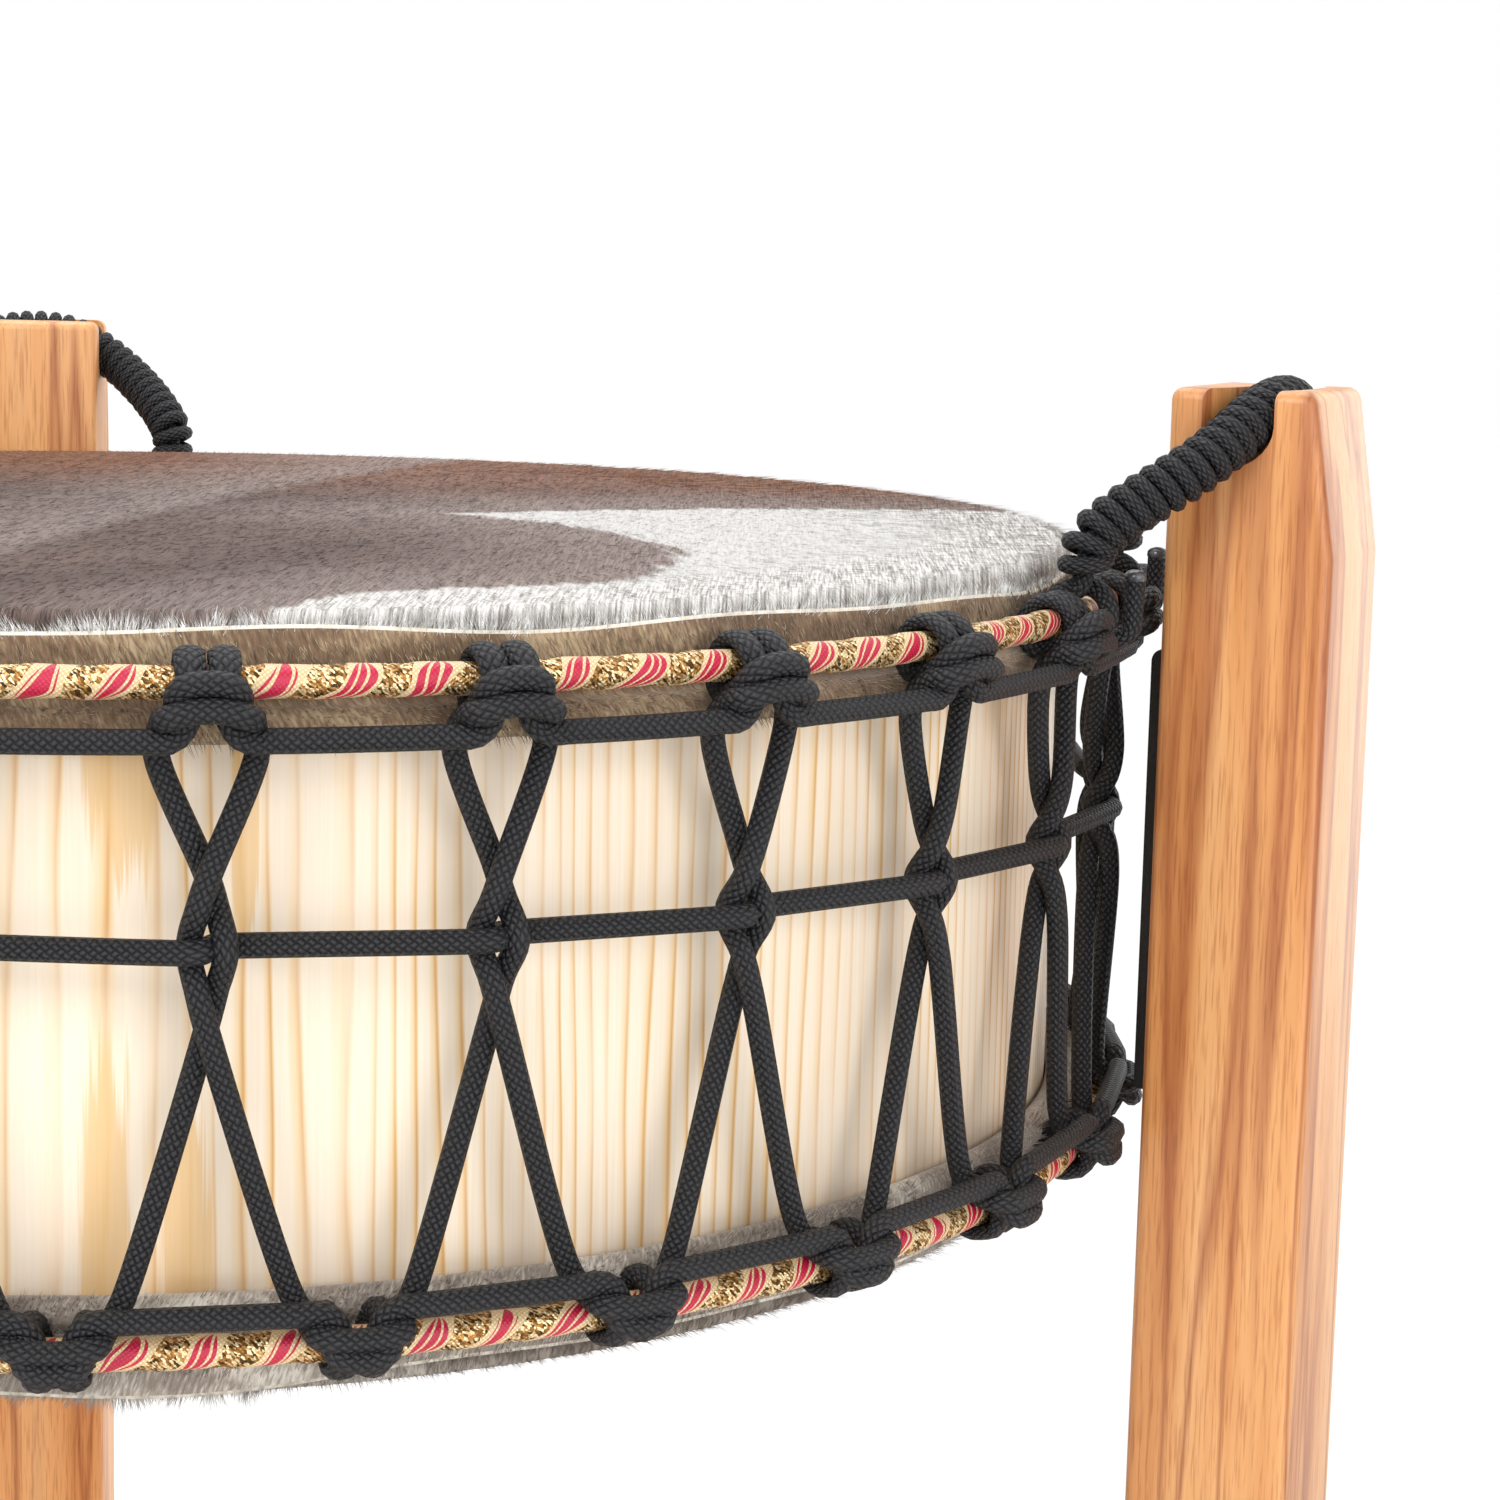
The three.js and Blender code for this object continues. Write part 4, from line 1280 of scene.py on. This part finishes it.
@dataclass
class Head:
    """A hide stretched over one end of the shell, folded up round its flesh hoop behind the crown hoop."""

    side: Side
    segments: int = 270
    flap_outer: float = 239.89
    flap_inner: float = 238.89
    skirt_outer: float = 238.59
    skirt_inner: float = 237.59
    flesh_radius: float = 241.39
    flesh_drop: float = 9.7
    rise: float = 12.5
    rim_round: float = 4.0
    flap_rise: float = 8.0
    fold_outer: float = 3.8
    fold_inner: float = 2.8
    edge_height: float = 0.7
    underside: float = 5.5
    hair_reach: float = 5.0
    fringe_hairs: int = 20000
    nap_hairs: int = 26000
    coat_hairs: int = 40000

    @property
    def rim_centre(self) -> float:
        """The radius where the face starts to turn down."""
        return self.skirt_outer - self.rim_round

    @staticmethod
    def arc(out: float, rise: float, radius: float, turns: range) -> list[tuple[float, float]]:
        """An arc of the section about a point, at each of some turns in degrees."""
        angles = [math.radians(turn) for turn in turns]
        return [(out + radius * math.cos(a), rise + radius * math.sin(a)) for a in angles]

    def round_flesh(self, radius: float, start: int, step: int, count: int) -> list[tuple[float, float]]:
        """The section's way round the flesh hoop, in steps of degrees from its outer side."""
        return self.arc(self.flesh_radius, -self.flesh_drop, radius, range(start, start + step * count, step))

    def profile(self) -> list[tuple[float, float, int]]:
        """The hide's section.

        Returns:
            Points of radius, height over the hoop and the finish of the face that starts there.
        """
        hair, fold, edge = range(3)
        foot = 4.9 - self.flesh_drop
        lip = self.flap_rise - self.edge_height
        climb = [(self.flap_outer, foot + (lip - foot) * i / 6) for i in range(7)]
        rim = self.arc(self.rim_centre, self.rise - self.rim_round, self.rim_round, range(0, 91, 15))
        runs = [
            (fold, [(0.0, self.underside), (231.0, self.underside), (234.6, 3.4), (self.skirt_inner, 0.3)]),
            (fold, self.round_flesh(self.fold_outer, 180, 15, 17)),
            (fold, [(240.6, foot - 1.2), *climb[:-1]]),
            (edge, [climb[-1], (self.flap_outer - 0.05, self.flap_rise)]),
            (hair, [(self.flap_inner + 0.05, self.flap_rise)]),
            (fold, [(self.flap_inner, self.flap_rise - 5.0), (self.flap_inner, 2.5 - self.flesh_drop)]),
            (fold, self.round_flesh(self.fold_inner, 60, -30, 9)),
            (hair, [(self.skirt_outer, -2.0), (self.skirt_outer, 3.0), *rim]),
            (hair, [(radius, self.rise) for radius in (222.0, 160.0, 80.0, 0.0)]),
        ]
        return [(radius, height, finish) for finish, run in runs for radius, height in run]

    def ripple(self, angle: np.ndarray) -> np.ndarray:
        """The knife's waver along the cut edge, most at the front.

        Args:
            angle: places round the drum.

        Returns:
            Heights in millimetres.
        """
        shift = 0.0 if self.side is Side.TOP else 1.7
        waves = 1.3 * np.sin(4 * angle + 0.6 + shift) + 0.9 * np.sin(9 * angle + 2.1)
        waves += 0.6 * np.sin(17 * angle + shift)
        return waves * (0.65 + 0.35 * np.cos(angle))

    def hide(self) -> Piece:
        """Turns the section about the drum's axis, with a wavering cut edge.

        Returns:
            The hide.
        """
        profile = self.profile()
        count = self.segments
        map_radius = 0.24
        waver_foot, waver_full = 1.0, 6.0
        angles = np.arange(count) * TAU / count
        waver = list(zip(angles, self.ripple(angles)))
        rows, points = [], []
        for radius, height, _ in profile:
            around = waver if radius else [(0.0, 0.0)]
            rows.append([len(points) + min(i, len(around) - 1) for i in range(count)])
            on_flap = radius > self.skirt_outer + 0.2
            share = min(max((height - waver_foot) / waver_full, 0.0), 1.0) if on_flap else 0.0
            out = radius - SIZES.hoop_radius
            for angle, lift in around:
                points.append(SIZES.by_hoop(self.side.value, angle, 0.0, out, height + share * lift))
        lengths = np.cumsum([0.0] + [math.dist(a[:2], b[:2]) for a, b in zip(profile, profile[1:])])
        faces, uvs, slots = [], [], []
        for row, (low, high) in enumerate(zip(rows, rows[1:])):
            for i in range(count):
                j = (i + 1) % count
                below = [(low[i], i, row), (low[j], i + 1, row)]
                above = [(high[j], i + 1, row + 1), (high[i], i, row + 1)]
                spots: dict[int, tuple[float, float]] = {}
                for corner, place, level in below + above:
                    spots.setdefault(corner, (place * TAU / count * map_radius, lengths[level] * MM))
                corners = list(spots)[:: self.side.value]
                faces.append(corners)
                uvs += [spots[corner] for corner in corners]
                slots.append(profile[row][2])
        piece = from_arrays(f"hide_{self.side.word}", np.array(points) * MM, faces, np.array(uvs))
        finishes = HEAD_DRESS[self.side]
        dress(piece, finishes.hair, finishes.fold, finishes.edge)
        piece.data.polygons.foreach_set("material_index", slots)
        return piece

    def grow(self, kind: str, place: tuple, ways: np.ndarray, width: float) -> Piece:
        """Grows hairs that taper to a point.

        Args:
            kind: what the hair is called.
            place: the roots' angles round the drum, radii and heights over the hoop.
            ways: their course to the tip, in millimetres.
            width: thickness at the root, in millimetres.

        Returns:
            The hairs as one mesh.
        """
        angle, radius, height = place
        rise = self.side.value * (SIZES.hoop_spacing / 2 + height) + SIZES.centre
        roots = np.column_stack([radius * np.sin(angle), radius * -np.cos(angle), rise]) * MM
        ways = ways * MM
        course = unit(ways)
        side = unit(np.cross(course, [0.31, 0.17, 0.93]))
        up = np.cross(side, course)
        corners = [roots + ways]
        for turn in (0.0, TAU / 3, 2 * TAU / 3):
            corners.append(roots + width * MM / 2 * (side * math.cos(turn) + up * math.sin(turn)))
        points = np.stack(corners, axis=1).reshape(-1, 3)
        shape = np.array([(0, 2, 1), (0, 3, 2), (0, 1, 3), (1, 2, 3)])
        faces = (shape[None, :, :] + 4 * np.arange(len(roots))[:, None, None]).reshape(-1, 3)
        return from_arrays(f"hair_{kind}_{self.side.word}", points, faces.tolist())

    def course(self, angle: np.ndarray, up: np.ndarray, out: np.ndarray, along: np.ndarray) -> np.ndarray:
        """Points the hairs of a rim.

        Args:
            angle: their places round the drum.
            up: their shares away from the drum's middle.
            out: their shares out of the drum.
            along: their shares along the rim.

        Returns:
            Unit directions.
        """
        x = out * np.sin(angle) + along * np.cos(angle)
        y = out * -np.cos(angle) + along * np.sin(angle)
        return unit(np.column_stack([x, y, self.side.value * up]))

    def fringe(self) -> Piece:
        """Grows the hair that stands up out of the fold all round the cut edge, longest at the front.

        Returns:
            The fringe.
        """
        count = self.fringe_hairs
        chance = np.random.default_rng(11 + self.side.value)
        angle = chance.vonmises(0.3, 0.7, count)
        height = self.flap_rise - chance.uniform(1.0, 3.5, count) + self.ripple(angle)
        # Waves of uneven pace round the rim make thicker tufts and lean them together.
        lush = 0.9 + 0.25 * np.sin(131 * angle + 3 * np.sin(37 * angle))
        reach = self.hair_reach * chance.uniform(0.55, 1.2, count) * (0.7 + 0.3 * np.cos(angle)) * lush
        clump = 0.45 * np.sin(57 * angle + 2 * np.sin(23 * angle))
        tilt = chance.normal(0.2, 0.3, count)
        swing = clump + chance.normal(-0.1, 0.22, count)
        ways = self.course(angle, np.ones(count), np.sin(tilt), np.sin(swing)) * reach[:, None]
        return self.grow("fringe", (angle, self.flap_inner - 0.3, height), ways, 0.3)

    def nap(self) -> Piece:
        """Grows the short hair on the outside of the fold.

        Returns:
            The nap.
        """
        count = self.nap_hairs
        fold_share = 0.45
        fold_round = 3.7
        chance = np.random.default_rng(37 + self.side.value)
        angle = chance.uniform(0, TAU, count)
        place = chance.uniform(0, 1, count)
        bend = math.radians(-75) + place / fold_share * math.radians(140)
        on_fold = place < fold_share
        radius = np.where(on_fold, self.flesh_radius + fold_round * np.cos(bend), self.flap_outer - 0.05)
        foot = 5.8 - self.flesh_drop
        climb = foot + (place - fold_share) / (1 - fold_share) * (self.flap_rise - 1.0 - foot)
        height = np.where(on_fold, -self.flesh_drop + fold_round * np.sin(bend), climb)
        reach = chance.uniform(1.8, 3.6, count)
        out = np.where(on_fold, np.cos(bend), 0.0) + chance.uniform(0.12, 0.4, count)
        up = np.where(on_fold, np.sin(bend) - 0.5, -1.0)
        ways = self.course(angle, up, out, chance.normal(0.4, 0.3, count)) * reach[:, None]
        return self.grow("nap", (angle, radius, height), ways, 0.2)

    def coat(self) -> Piece:
        """Grows the sleek hair that lies on the head and turns outward at its rim.

        Returns:
            The coat.
        """
        count = self.coat_hairs
        rim_share = 0.2
        lie, turn_start, turn_width = -1.8, 165.0, 55.0
        chance = np.random.default_rng(23 + self.side.value)
        angle = chance.uniform(0, TAU, count)
        on_rim = np.arange(count) < rim_share * count
        spread = np.where(on_rim, chance.uniform(0, 1, count), np.sqrt(chance.uniform(0, 1, count)))
        radius = np.where(on_rim, self.rim_centre + 0.98 * self.rim_round * spread, self.rim_centre * spread)
        down = np.clip((radius - self.rim_centre) / self.rim_round, 0.0, 1.0)
        level = np.sqrt(1 - down**2)
        height = self.rise - self.rim_round * (1 - level) - 0.05
        outward = np.column_stack([np.sin(angle), -np.cos(angle)])
        bearing = lie + chance.normal(0.0, 0.2, count)
        lay = np.column_stack([np.cos(bearing), np.sin(bearing)])
        turn = np.clip((radius - turn_start) / turn_width, 0.0, 1.0)[:, None]
        lay = unit(lay * (1.0 - 0.75 * turn) + outward * turn)
        reach = chance.uniform(3.0, 5.5, count) * np.where(on_rim, 1.0, 1.7)
        lift = chance.uniform(0.02, 0.08, count)
        flat = level + lift * down
        fall = -down + lift * level
        ways = np.column_stack([lay * (reach * flat)[:, None], self.side.value * reach * fall])
        return self.grow("coat", (angle, radius, height), ways, 0.17)

    def build(self) -> None:
        """Models the hide and its hair."""
        finishes = HEAD_DRESS[self.side]
        word = self.side.word
        hand_in(self.hide(), Body.DRUM, finishes.slot, None, f"head_{word}", f"flesh_hoop_{word}")
        hand_in(self.fringe(), Body.DRUM, finishes.slot, finishes.tufts)
        hand_in(self.coat(), Body.DRUM, finishes.slot, finishes.coat)
        hand_in(self.nap(), Body.DRUM, finishes.slot, finishes.nap)


@dataclass
class CrownHoop:
    """A steel rod bound with a ribbon, each turn lapped over the one before."""

    side: Side
    lap: float = 15.0
    ridge: float = 0.45
    steepness: float = 6.0
    step: float = 1.4
    sides: int = 16

    def build(self) -> None:
        """Models the bound rod, with a UV map in metres along it and round it."""
        length = TAU * SIZES.hoop_radius
        count = round(length / self.step)
        angles = np.arange(count) * TAU / count
        line = np.array([SIZES.by_hoop(self.side.value, angle, 0.0, 0.0, 0.0) for angle in angles])
        turns = round(length / self.lap)
        place = (angles[:, None] * turns / TAU + np.arange(self.sides)[None, :] / self.sides) % 1.0
        radii = SIZES.hoop_thickness / 2 - self.ridge * np.minimum(place, self.steepness * (1 - place))
        piece = tube(f"bound_hoop_{self.side.word}", line * MM, radii * MM, self.sides, True)
        layer = piece.data.uv_layers[0].data
        flat = np.empty(2 * len(layer), dtype=np.float32)
        layer.foreach_get("uv", flat)
        around, along = flat.reshape(-1, 2).T
        metres = np.stack([along, around * math.pi * SIZES.hoop_thickness * MM], axis=1)
        layer.foreach_set("uv", metres.ravel())
        hand_in(piece, Body.DRUM, "bound_hoop", BROCADE, f"crown_hoop_{self.side.word}")


@contextmanager
def editing() -> Iterator[None]:
    """Keeps the active piece in edit mode for the steps inside.

    Yields:
        Nothing.
    """
    bpy.ops.object.mode_set(mode="EDIT")
    yield
    bpy.ops.object.mode_set(mode="OBJECT")


def make_active(piece: Piece) -> None:
    """Selects one object alone and makes it active.

    Args:
        piece: the object.
    """
    bpy.ops.object.select_all(action="DESELECT")
    piece.select_set(True)
    bpy.context.view_layer.objects.active = piece


def bevelled(piece: Piece, width: float, segments: int, angle: float = 28.0) -> None:
    """Rounds a piece's sharp edges and shades it smooth.

    Args:
        piece: the object.
        width: the round's width in millimetres.
        segments: its steps.
        angle: the least angle between faces that counts as an edge, in degrees.
    """
    smooth_angle = 35.0
    make_active(piece)
    bevel = piece.modifiers.new("round", "BEVEL")
    bevel.width = width * MM
    bevel.segments = segments
    bevel.limit_method = "ANGLE"
    bevel.angle_limit = math.radians(angle)
    bpy.ops.object.modifier_apply(modifier=bevel.name)
    bpy.ops.object.shade_smooth_by_angle(angle=math.radians(smooth_angle))


def refined_copy(node: str, name: str, width: float) -> Piece:
    """Copies a CAD node, merges its faces and rounds its edges.

    Args:
        node: the CAD node.
        name: the new piece's name.
        width: the round's width in millimetres.

    Returns:
        The copy.
    """
    weld, level = 0.01 * MM, math.radians(0.5)
    piece = put_in(name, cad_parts[node].data.copy())
    make_active(piece)
    with editing():
        bpy.ops.mesh.select_all(action="SELECT")
        bpy.ops.mesh.remove_doubles(threshold=weld)
        bpy.ops.mesh.dissolve_limited(angle_limit=level)
    bevelled(piece, width, 3)
    return piece


@dataclass
class StaveShell:
    """The shell's pine staves, planed round and glued edge to edge."""

    staves: int = 18
    thickness: float = 12.0
    bearing: float = 5.0
    seam: float = 0.02
    tree_step: float = 0.37
    smooth_angle: float = 20.0

    def stave(self) -> Piece:
        """Models one stave at the front: its section is drawn in a plane and spun about the drum's axis.

        Returns:
            The stave.
        """
        half = math.pi / self.staves - self.seam / 2 / SIZES.shell_radius
        inner = (SIZES.shell_radius - self.thickness) * MM
        outer = SIZES.shell_radius * MM
        bpy.ops.object.select_all(action="DESELECT")
        bpy.ops.mesh.primitive_plane_add(size=1.0, location=(0.0, 0.0, 0.0), rotation=(0.0, 0.0, 0.0))
        piece = bpy.context.object
        with editing():
            bpy.ops.mesh.select_mode(type="VERT")
            bpy.ops.mesh.select_all(action="DESELECT")
        for corner in piece.data.vertices:
            across, up = corner.co.x, corner.co.y
            radius = outer if across > 0 else inner
            height = SIZES.centre + 2 * up * SIZES.shell_half
            corner.co = (radius * math.sin(half), -radius * math.cos(half), height * MM)
            corner.select = across > 0
        with editing():
            bpy.ops.mesh.bevel(offset=self.bearing * MM, offset_type="OFFSET", segments=3, affect="VERTICES")
            bpy.ops.mesh.select_all(action="SELECT")
            bpy.ops.mesh.spin(steps=10, angle=2 * half, center=(0.0, 0.0, 0.0), axis=(0.0, 0.0, 1.0))
            bpy.ops.mesh.select_all(action="SELECT")
            bpy.ops.mesh.normals_make_consistent(inside=False)
        return piece

    def draw_grain_map(self, piece: Piece, number: int) -> None:
        """Maps a stave flat, in metres: the front ones from one board, the others each from its own.

        Args:
            piece: the stave at its place.
            number: its number round the shell.
        """
        at_front = number < 4 or number > 15
        start = 0.0 if at_front else self.tree_step * number
        mesh = piece.data
        layer = mesh.uv_layers[0] if mesh.uv_layers else mesh.uv_layers.new(name="UVMap")
        middle = ((number + 8.5) % self.staves - 9.0) * TAU / self.staves
        for loop in mesh.loops:
            spot = mesh.vertices[loop.vertex_index].co
            angle = math.atan2(spot.x, -spot.y) - middle
            angle = (angle + math.pi) % TAU - math.pi
            depth = SIZES.shell_radius * MM - math.hypot(spot.x, spot.y)
            layer.data[loop.index].uv = ((angle + middle) * SIZES.shell_radius * MM + start + depth, spot.z)

    def build(self) -> None:
        """Models one stave and copies it round the shell."""
        first = self.stave()
        for number in range(1, self.staves + 1):
            turn = Matrix.Rotation((number - 0.5) * TAU / self.staves, 4, "Z")
            piece = placed_copy(first, f"pine_stave_{number}", turn)
            self.draw_grain_map(piece, number)
            make_active(piece)
            bpy.ops.object.shade_smooth_by_angle(angle=math.radians(self.smooth_angle))
            hand_in(piece, Body.DRUM, "pine", PINE, f"stave_{number}")
        bpy.data.objects.remove(first)


@dataclass
class Stand:
    """The posts, their pads and the low base that they stand on."""

    post_foot: float = 46.6
    post_depth: float = 42.0
    post_round: float = 3.0
    taper_height: float = 40.0
    taper_depth: float = 6.0
    timber_round: float = 0.8
    pad_round: float = 1.2
    foot_radius: float = 16.0
    foot_height: float = 6.0
    foot_round: float = 1.2
    cutter_clear: float = 10.0
    cutter_step: float = 6.0
    cutter_inset: int = 5
    smooth_angle: float = 30.0
    loop: RopeLoops = field(default_factory=RopeLoops)

    def post(self) -> Piece:
        """Models one post in the frame of its arm: a drawn-out box, tapered, rounded and notched.

        Returns:
            The post.
        """
        across, along = self.loop.post_middle()
        shoulder = self.loop.post_height - self.taper_height
        bpy.ops.object.select_all(action="DESELECT")
        bpy.ops.mesh.primitive_cube_add(size=1.0, location=(0.0, 0.0, 0.0))
        piece = bpy.context.object
        for corner in piece.data.vertices:
            x, y, z = corner.co
            height = self.post_foot if z < 0 else shoulder
            place = (across + x * self.loop.post_width, y * self.post_depth - along, height)
            corner.co = [value * MM for value in place]
        with editing():
            bpy.ops.mesh.select_mode(type="FACE")
            bpy.ops.mesh.select_all(action="DESELECT")
        for face in piece.data.polygons:
            face.select = face.normal.z > 0.9
        with editing():
            lift = (0.0, 0.0, self.taper_height * MM)
            bpy.ops.mesh.extrude_region_move(TRANSFORM_OT_translate={"value": lift})
        for corner in piece.data.vertices:
            if corner.co.z > (shoulder + 1) * MM and corner.co.y < -along * MM:
                corner.co.y += self.taper_depth * MM
        bevelled(piece, self.post_round, 5, 40.0)
        self.cut_notch(piece)
        return piece

    def cut_notch(self, piece: Piece) -> None:
        """Cuts the loop's round-bottomed notch across a post's top.

        Args:
            piece: the post.
        """
        wide = self.loop.notch_radius
        top = self.loop.post_height + self.cutter_clear
        line = smooth_route(np.array(self.loop.over_post()), self.cutter_step, False)
        line = line[self.cutter_inset : -self.cutter_inset]
        arc = [math.radians(-180 + 15 * i) for i in range(13)]
        sections = []
        for centre, way in zip(line, directions(line, False)):
            side = np.cross(way, [0.0, 0.0, 1.0])
            side /= np.linalg.norm(side)
            high = top - centre[2]
            rim = [(-wide, high), *((wide * math.cos(a), wide * math.sin(a)) for a in arc), (wide, high)]
            sections.append([centre + side * x + np.array([0.0, 0.0, y]) for x, y in rim])
        faces = skin_faces(len(sections), len(sections[0]), False)
        tool = from_arrays("notch_tool", np.array(sections).reshape(-1, 3) * MM, faces)
        make_active(tool)
        with editing():
            bpy.ops.mesh.select_all(action="SELECT")
            bpy.ops.mesh.normals_make_consistent(inside=False)
        make_active(piece)
        cutter = piece.modifiers.new("notch", "BOOLEAN")
        cutter.operation = "DIFFERENCE"
        cutter.solver = "EXACT"
        cutter.object = tool
        bpy.ops.object.modifier_apply(modifier=cutter.name)
        bpy.data.objects.remove(tool)
        bpy.ops.object.shade_smooth_by_angle(angle=math.radians(self.smooth_angle))

    def timber(self) -> None:
        """Models the posts and refines the arms and hub, each with its grain along it."""
        first = self.post()
        for number in ARMS:
            post = placed_copy(first, f"teak_post_{number}", self.loop.turn_to_arm(number))
            # The back post, number 2, gets the teak with painted light.
            hand_in(post, Body.STAND, "teak", PAINTED_LIGHT_TEAK if number == 2 else TEAK, f"post_{number}")
            arm = refined_copy(f"base_arm_{number}", f"teak_arm_{number}", self.timber_round)
            lie = (0.0, math.pi / 2, self.loop.arm_angle(number) - math.pi / 2)
            finish = replace(TEAK, name=f"varnished_teak_arm_{number}", lie=lie)
            hand_in(arm, Body.STAND, "teak", finish, f"base_arm_{number}")
        crosswise = replace(TEAK, name="varnished_teak_hub", lie=(0.0, math.pi / 2, 0.0))
        hand_in(refined_copy("hub", "teak_hub", self.timber_round), Body.STAND, "teak", crosswise, "hub")
        bpy.data.objects.remove(first)

    def pads(self) -> None:
        """Models the rubber strips as soft-edged copies of their solids."""
        for number in ARMS:
            pad = refined_copy(f"post_pad_{number}", f"rubber_pad_{number}", self.pad_round)
            hand_in(pad, Body.STAND, "rubber", RUBBER, f"post_pad_{number}")

    def feet(self) -> None:
        """Models one round foot and copies it to its four places."""
        radius, depth = self.foot_radius * MM, self.foot_height * MM
        bpy.ops.object.select_all(action="DESELECT")
        middle = (0.0, 0.0, self.foot_height / 2 * MM)
        bpy.ops.mesh.primitive_cylinder_add(vertices=48, radius=radius, depth=depth, location=middle)
        first = bpy.context.object
        bpy.ops.object.transform_apply(location=True, rotation=True, scale=True)
        bevelled(first, self.foot_round, 4, 40.0)
        for node in ("foot_1", "foot_2", "foot_3", "foot_centre"):
            low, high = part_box(node)
            x, y, _ = (Vector(low) + Vector(high)) / 2
            piece = placed_copy(first, f"rubber_{node}", Matrix.Translation((x, y, low[2])))
            hand_in(piece, Body.STAND, "rubber", RUBBER, node)
        bpy.data.objects.remove(first)

    def fixings(self) -> None:
        """Gives the hidden screws and dowels their finishes."""
        for number in ARMS:
            dress(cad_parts[f"coach_screw_{number}"], STEEL)
            dress(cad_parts[f"hub_dowel_{number}"], BEECH)

    def build(self) -> None:
        """Models the stand's pieces."""
        self.timber()
        self.pads()
        self.feet()
        self.fixings()


@dataclass
class Studio:
    """The camera, with its spot in millimetres and its turns in radians, the light and a plain pale floor."""

    focal_pixels: float = 3326.1
    frame_pixels: int = 1500
    sensor: float = 36.0
    pitch: float = 0.1515
    roll: float = 0.024
    yaw: float = 0.2086
    spot: Point = (-28.8, -892.2, 592.2)
    middle: Point = (0.0, 0.0, 0.44)
    ambient: float = 0.55
    paper_glow: float = 1.09
    glow_share: float = 0.86
    floor_size: float = 14.0
    floor_place: Point = (0.0, 3.0, -0.0005)
    lamps: tuple[tuple[str, Point, float, float], ...] = (
        ("key", (-1.3, -1.5, 1.9), 1.2, 33.0),
        ("front", (0.8, -1.9, 0.8), 1.6, 21.0),
        ("right_wall", (1.9, 1.1, 0.75), 1.5, 12.0),
        ("top", (0.1, 0.6, 2.2), 1.6, 22.5),
    )

    def camera(self) -> None:
        """Places the camera as it stood for the photograph."""
        level = math.cos(self.pitch)
        ahead = Vector((math.sin(self.yaw) * level, math.cos(self.yaw) * level, -math.sin(self.pitch)))
        right = Vector((math.cos(self.yaw), -math.sin(self.yaw), 0.0))
        up = right.cross(ahead)
        side = right * math.cos(self.roll) + up * math.sin(self.roll)
        top = up * math.cos(self.roll) - right * math.sin(self.roll)
        data = bpy.data.cameras.new("camera")
        data.sensor_width = self.sensor
        data.lens = self.sensor * self.focal_pixels / self.frame_pixels
        data.clip_start = 0.02
        eye = put_in("camera", data)
        turn = Matrix((side, top, -ahead)).transposed().to_4x4()
        eye.matrix_world = Matrix.Translation(Vector(self.spot) * MM) @ turn
        bpy.context.scene.camera = eye

    def lamp(self, name: str, place: Point, size: float, power: float) -> None:
        """Adds a soft box that points at the drum's middle.

        Args:
            name: the lamp's name.
            place: where it stands.
            size: its side.
            power: its power in watts.
        """
        data = bpy.data.lights.new(name, "AREA")
        data.size = size
        data.energy = power
        way = Vector(self.middle) - Vector(place)
        turn = way.to_track_quat("-Z", "Y").to_matrix().to_4x4()
        put_in(name, data).matrix_world = Matrix.Translation(place) @ turn

    def world(self) -> None:
        """Makes a world that lights softly and looks white to the camera, in gloss and through glass."""
        world = bpy.data.worlds.new("studio")
        bpy.context.scene.world = world
        world.use_nodes = True
        world.node_tree.nodes.clear()
        add = partial(add_node, world.node_tree)
        light = add("Background", Color=WHITE, Strength=self.ambient)
        white = add("Background", Color=WHITE, Strength=1.0)
        path = add("LightPath").outputs
        seen = add("Math", path["Is Camera Ray"], path["Is Glossy Ray"], operation="MAXIMUM")
        seen = add("Math", seen, path["Is Transmission Ray"], operation="MAXIMUM")
        add("OutputWorld", add("MixShader", seen, light, white))

    def floor(self) -> None:
        """Lays pale paper that looks nearly white to the camera and keeps the shadow."""
        paper = bpy.data.materials.new("pale_floor")
        paper.use_nodes = True
        paper.node_tree.nodes.clear()
        add = partial(add_node, paper.node_tree)
        matt = add("BsdfDiffuse", Color=linear("#f4f4f2"))
        glow = add("Emission", Color=WHITE, Strength=self.paper_glow)
        share = add("Math", add("LightPath").outputs["Is Camera Ray"], self.glow_share, operation="MULTIPLY")
        add("OutputMaterial", add("MixShader", share, matt, glow))
        bpy.ops.object.select_all(action="DESELECT")
        bpy.ops.mesh.primitive_plane_add(size=self.floor_size, location=self.floor_place)
        floor = bpy.context.object
        floor.name = "floor"
        floor.data.materials.append(paper)

    def build(self) -> None:
        """Sets the whole studio."""
        bpy.context.scene.view_settings.view_transform = "Standard"
        self.camera()
        for lamp in self.lamps:
            self.lamp(*lamp)
        self.world()
        self.floor()


def main() -> None:
    """Builds the drum, its stand and the studio."""
    logging.basicConfig(level=logging.INFO)
    Studio().build()
    StaveShell().build()
    Head(Side.TOP).build()
    Head(Side.BOTTOM, flesh_drop=5.5, rise=13.8, flap_rise=10.5, hair_reach=4.4).build()
    for side in Side:
        CrownHoop(side).build()
    RopeWork().build()
    RopeLoops().build()
    Stand().build()


if __name__ == "__main__":
    main()
